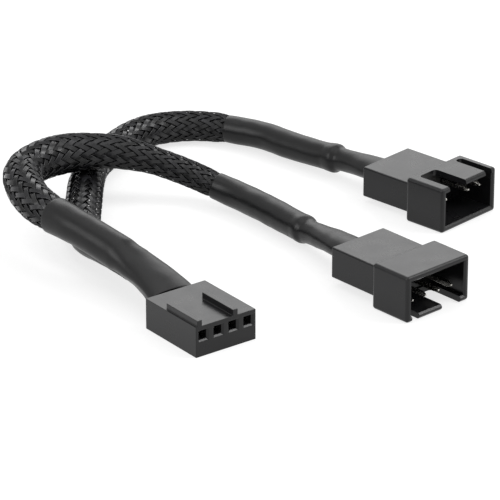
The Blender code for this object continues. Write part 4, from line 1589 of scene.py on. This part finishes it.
@dataclass
class PackedDetail:
    """Stamped contacts and round wires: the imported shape, with soft edges or a round skin."""

    node: str
    name: str
    slot: str
    edge: float = 0.0
    route: Route | None = None
    join_distance: float = 0.002 * MM
    # Faces within the first angle are made one, and edges past the second stay
    # sharp, both in degrees
    flat_angle: float = 1.0
    sharp_angle: float = 60.0
    # How near a wire is drawn to the centreline, over what length its middle is
    # found, and over what length the drawing in starts and ends
    reach: float = 0.7 * MM
    ring_span: float = 0.8 * MM
    fade: float = 2.0 * MM

    def draw_in(self, bm: bmesh.types.BMesh, route: Route) -> None:
        """Keep a wire near the centreline of its sleeve, which isn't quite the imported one.

        Args:
            bm: The wire's mesh, which is moved.
            route: The branch that the wire runs in.
        """
        where = {vertex: route.distance_of(vertex.co / MM) for vertex in bm.verts}
        offset = {vertex: vertex.co - route.at(where[vertex])[0] for vertex in bm.verts}
        moves = {}
        for vertex, along in where.items():
            ring = [offset[other] for other in bm.verts if abs(where[other] - along) < self.ring_span]
            centre = sum(ring, Vector()) / len(ring)
            entered = smooth_step(along, route.lip - self.fade, route.lip + self.fade)
            left = smooth_step(along, route.mouth - self.fade, route.mouth + self.fade)
            excess = max(centre.length - self.reach, 0.0) * entered * (1 - left)
            moves[vertex] = -excess * centre.normalized()
        for vertex, move in moves.items():
            vertex.co += move

    def build(self, material: bpy.types.Material) -> bpy.types.Object:
        """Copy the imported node, join its loose triangles and refine it.

        Args:
            material: The piece's finish.

        Returns:
            The refined piece as a plain mesh.
        """
        bm = bmesh.new()
        bm.from_mesh(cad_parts[self.node].data)
        bmesh.ops.remove_doubles(bm, verts=bm.verts, dist=self.join_distance)
        if self.edge:
            flat = math.radians(self.flat_angle)
            bmesh.ops.dissolve_limit(bm, angle_limit=flat, verts=bm.verts, edges=bm.edges)
        if self.route:
            self.draw_in(bm, self.route)
        copy = link(f"{self.name}_copy", mesh_of(self.name, bm, recalculate=False))
        if self.edge:
            add_bevel(copy, self.edge, segments=2)
        else:
            copy.data.shade_smooth()
            copy.data.set_sharp_from_angle(angle=math.radians(self.sharp_angle))
        piece = baked(copy, self.name)
        finish_piece(piece, material, self.node)
        return piece


@dataclass
class ShroudedEnd:
    """One branch from the fork on: its heat-shrink, housing, pins, wires and the sleeve round them."""

    route: Route
    housing_place: Matrix
    contacts: tuple[Contact, ...]
    pin_edge: float = 0.04

    def build_contact(
        self, contact: Contact, tin: bpy.types.Material, pvc: bpy.types.Material
    ) -> list[bpy.types.Object]:
        """Make the pin and the wire of one circuit.

        Args:
            contact: The circuit.
            tin: The pin's finish.
            pvc: The wire's finish.

        Returns:
            The pin and the wire.
        """
        tag = f"{self.route.branch.value}_{contact.value}"
        pin = PackedDetail(f"male_pin_{tag}", f"pin_{tag}", "tinned_contact", self.pin_edge)
        wire = PackedDetail(f"wire_{tag}", f"insulated_wire_{tag}", "black_insulation", route=self.route)
        return [pin.build(tin), wire.build(pvc)]

    def build_sleeve(self, braid: bpy.types.Material, with_pieces: list[bpy.types.Object]) -> None:
        """Args:
            braid: The sleeve's finish.
            with_pieces: What hangs on the sleeve; not used.
        """
        route = self.route
        radii = SLEEVE_RADII[route.branch]
        sleeve = BraidedSleeve(route, radii).build(braid)
        route.at(route.lip)[0]
        route.mouth - route.lip
        route.between(route.lip, route.mouth, CORD_STEP)


def build_crimp_end(
    routes: dict[Branch, Route],
    polyolefin: bpy.types.Material,
    nylon: bpy.types.Material,
    tin: bpy.types.Material,
) -> None:
    """Make the fork, the crimp housing and its contacts.

    Args:
        routes: Both branches.
        polyolefin: The heat-shrink's finish.
        nylon: The housing's finish.
        tin: The contacts' finish.
    """
    ForkShrink(routes[Branch.UPPER], routes[Branch.LOWER]).build(polyolefin)
    CrimpHousing(at_housing((-27.01, -26.24), heading=0.0, lift=3.1)).build(nylon)
    for contact in Contact:
        number = contact.value
        socket = PackedDetail(f"female_terminal_{number}", f"socket_{number}", "tinned_contact", edge=0.05)
        socket.build(tin)


def main() -> None:
    """Build the studio and every piece in order."""
    logging.basicConfig(level=logging.INFO, format="%(message)s")
    Studio().build()
    routes = {branch: Route(branch) for branch in Branch}
    braid = BraidedPolyester().make()
    polyolefin = ShrunkPolyolefin().make()
    nylon = MouldedNylon().make()
    tin = TinnedBrass().make()
    pvc = Insulation().make()

    build_crimp_end(routes, polyolefin, nylon, tin)
    # The lower branch has no speed signal
    speedless = tuple(contact for contact in Contact if contact is not Contact.TACH)
    upper_place = at_housing((3.73, -34.56), heading=5.39, lift=2.53, upside_down=True)
    lower_place = at_housing((27.11, -13.31), heading=10.08, lift=4.45)
    for end in (
        ShroudedEnd(routes[Branch.UPPER], upper_place, tuple(Contact)),
        ShroudedEnd(routes[Branch.LOWER], lower_place, speedless),
    ):
        branch = end.route.branch
        pieces = [
            EndShrink(end.route, END_SECTIONS[branch]).build(polyolefin),
            ShroudedHousing(branch, end.housing_place).build(nylon),
        ]
        for contact in end.contacts:
            pieces += end.build_contact(contact, tin, pvc)
        end.build_sleeve(braid, pieces)


if __name__ == "__main__":
    main()
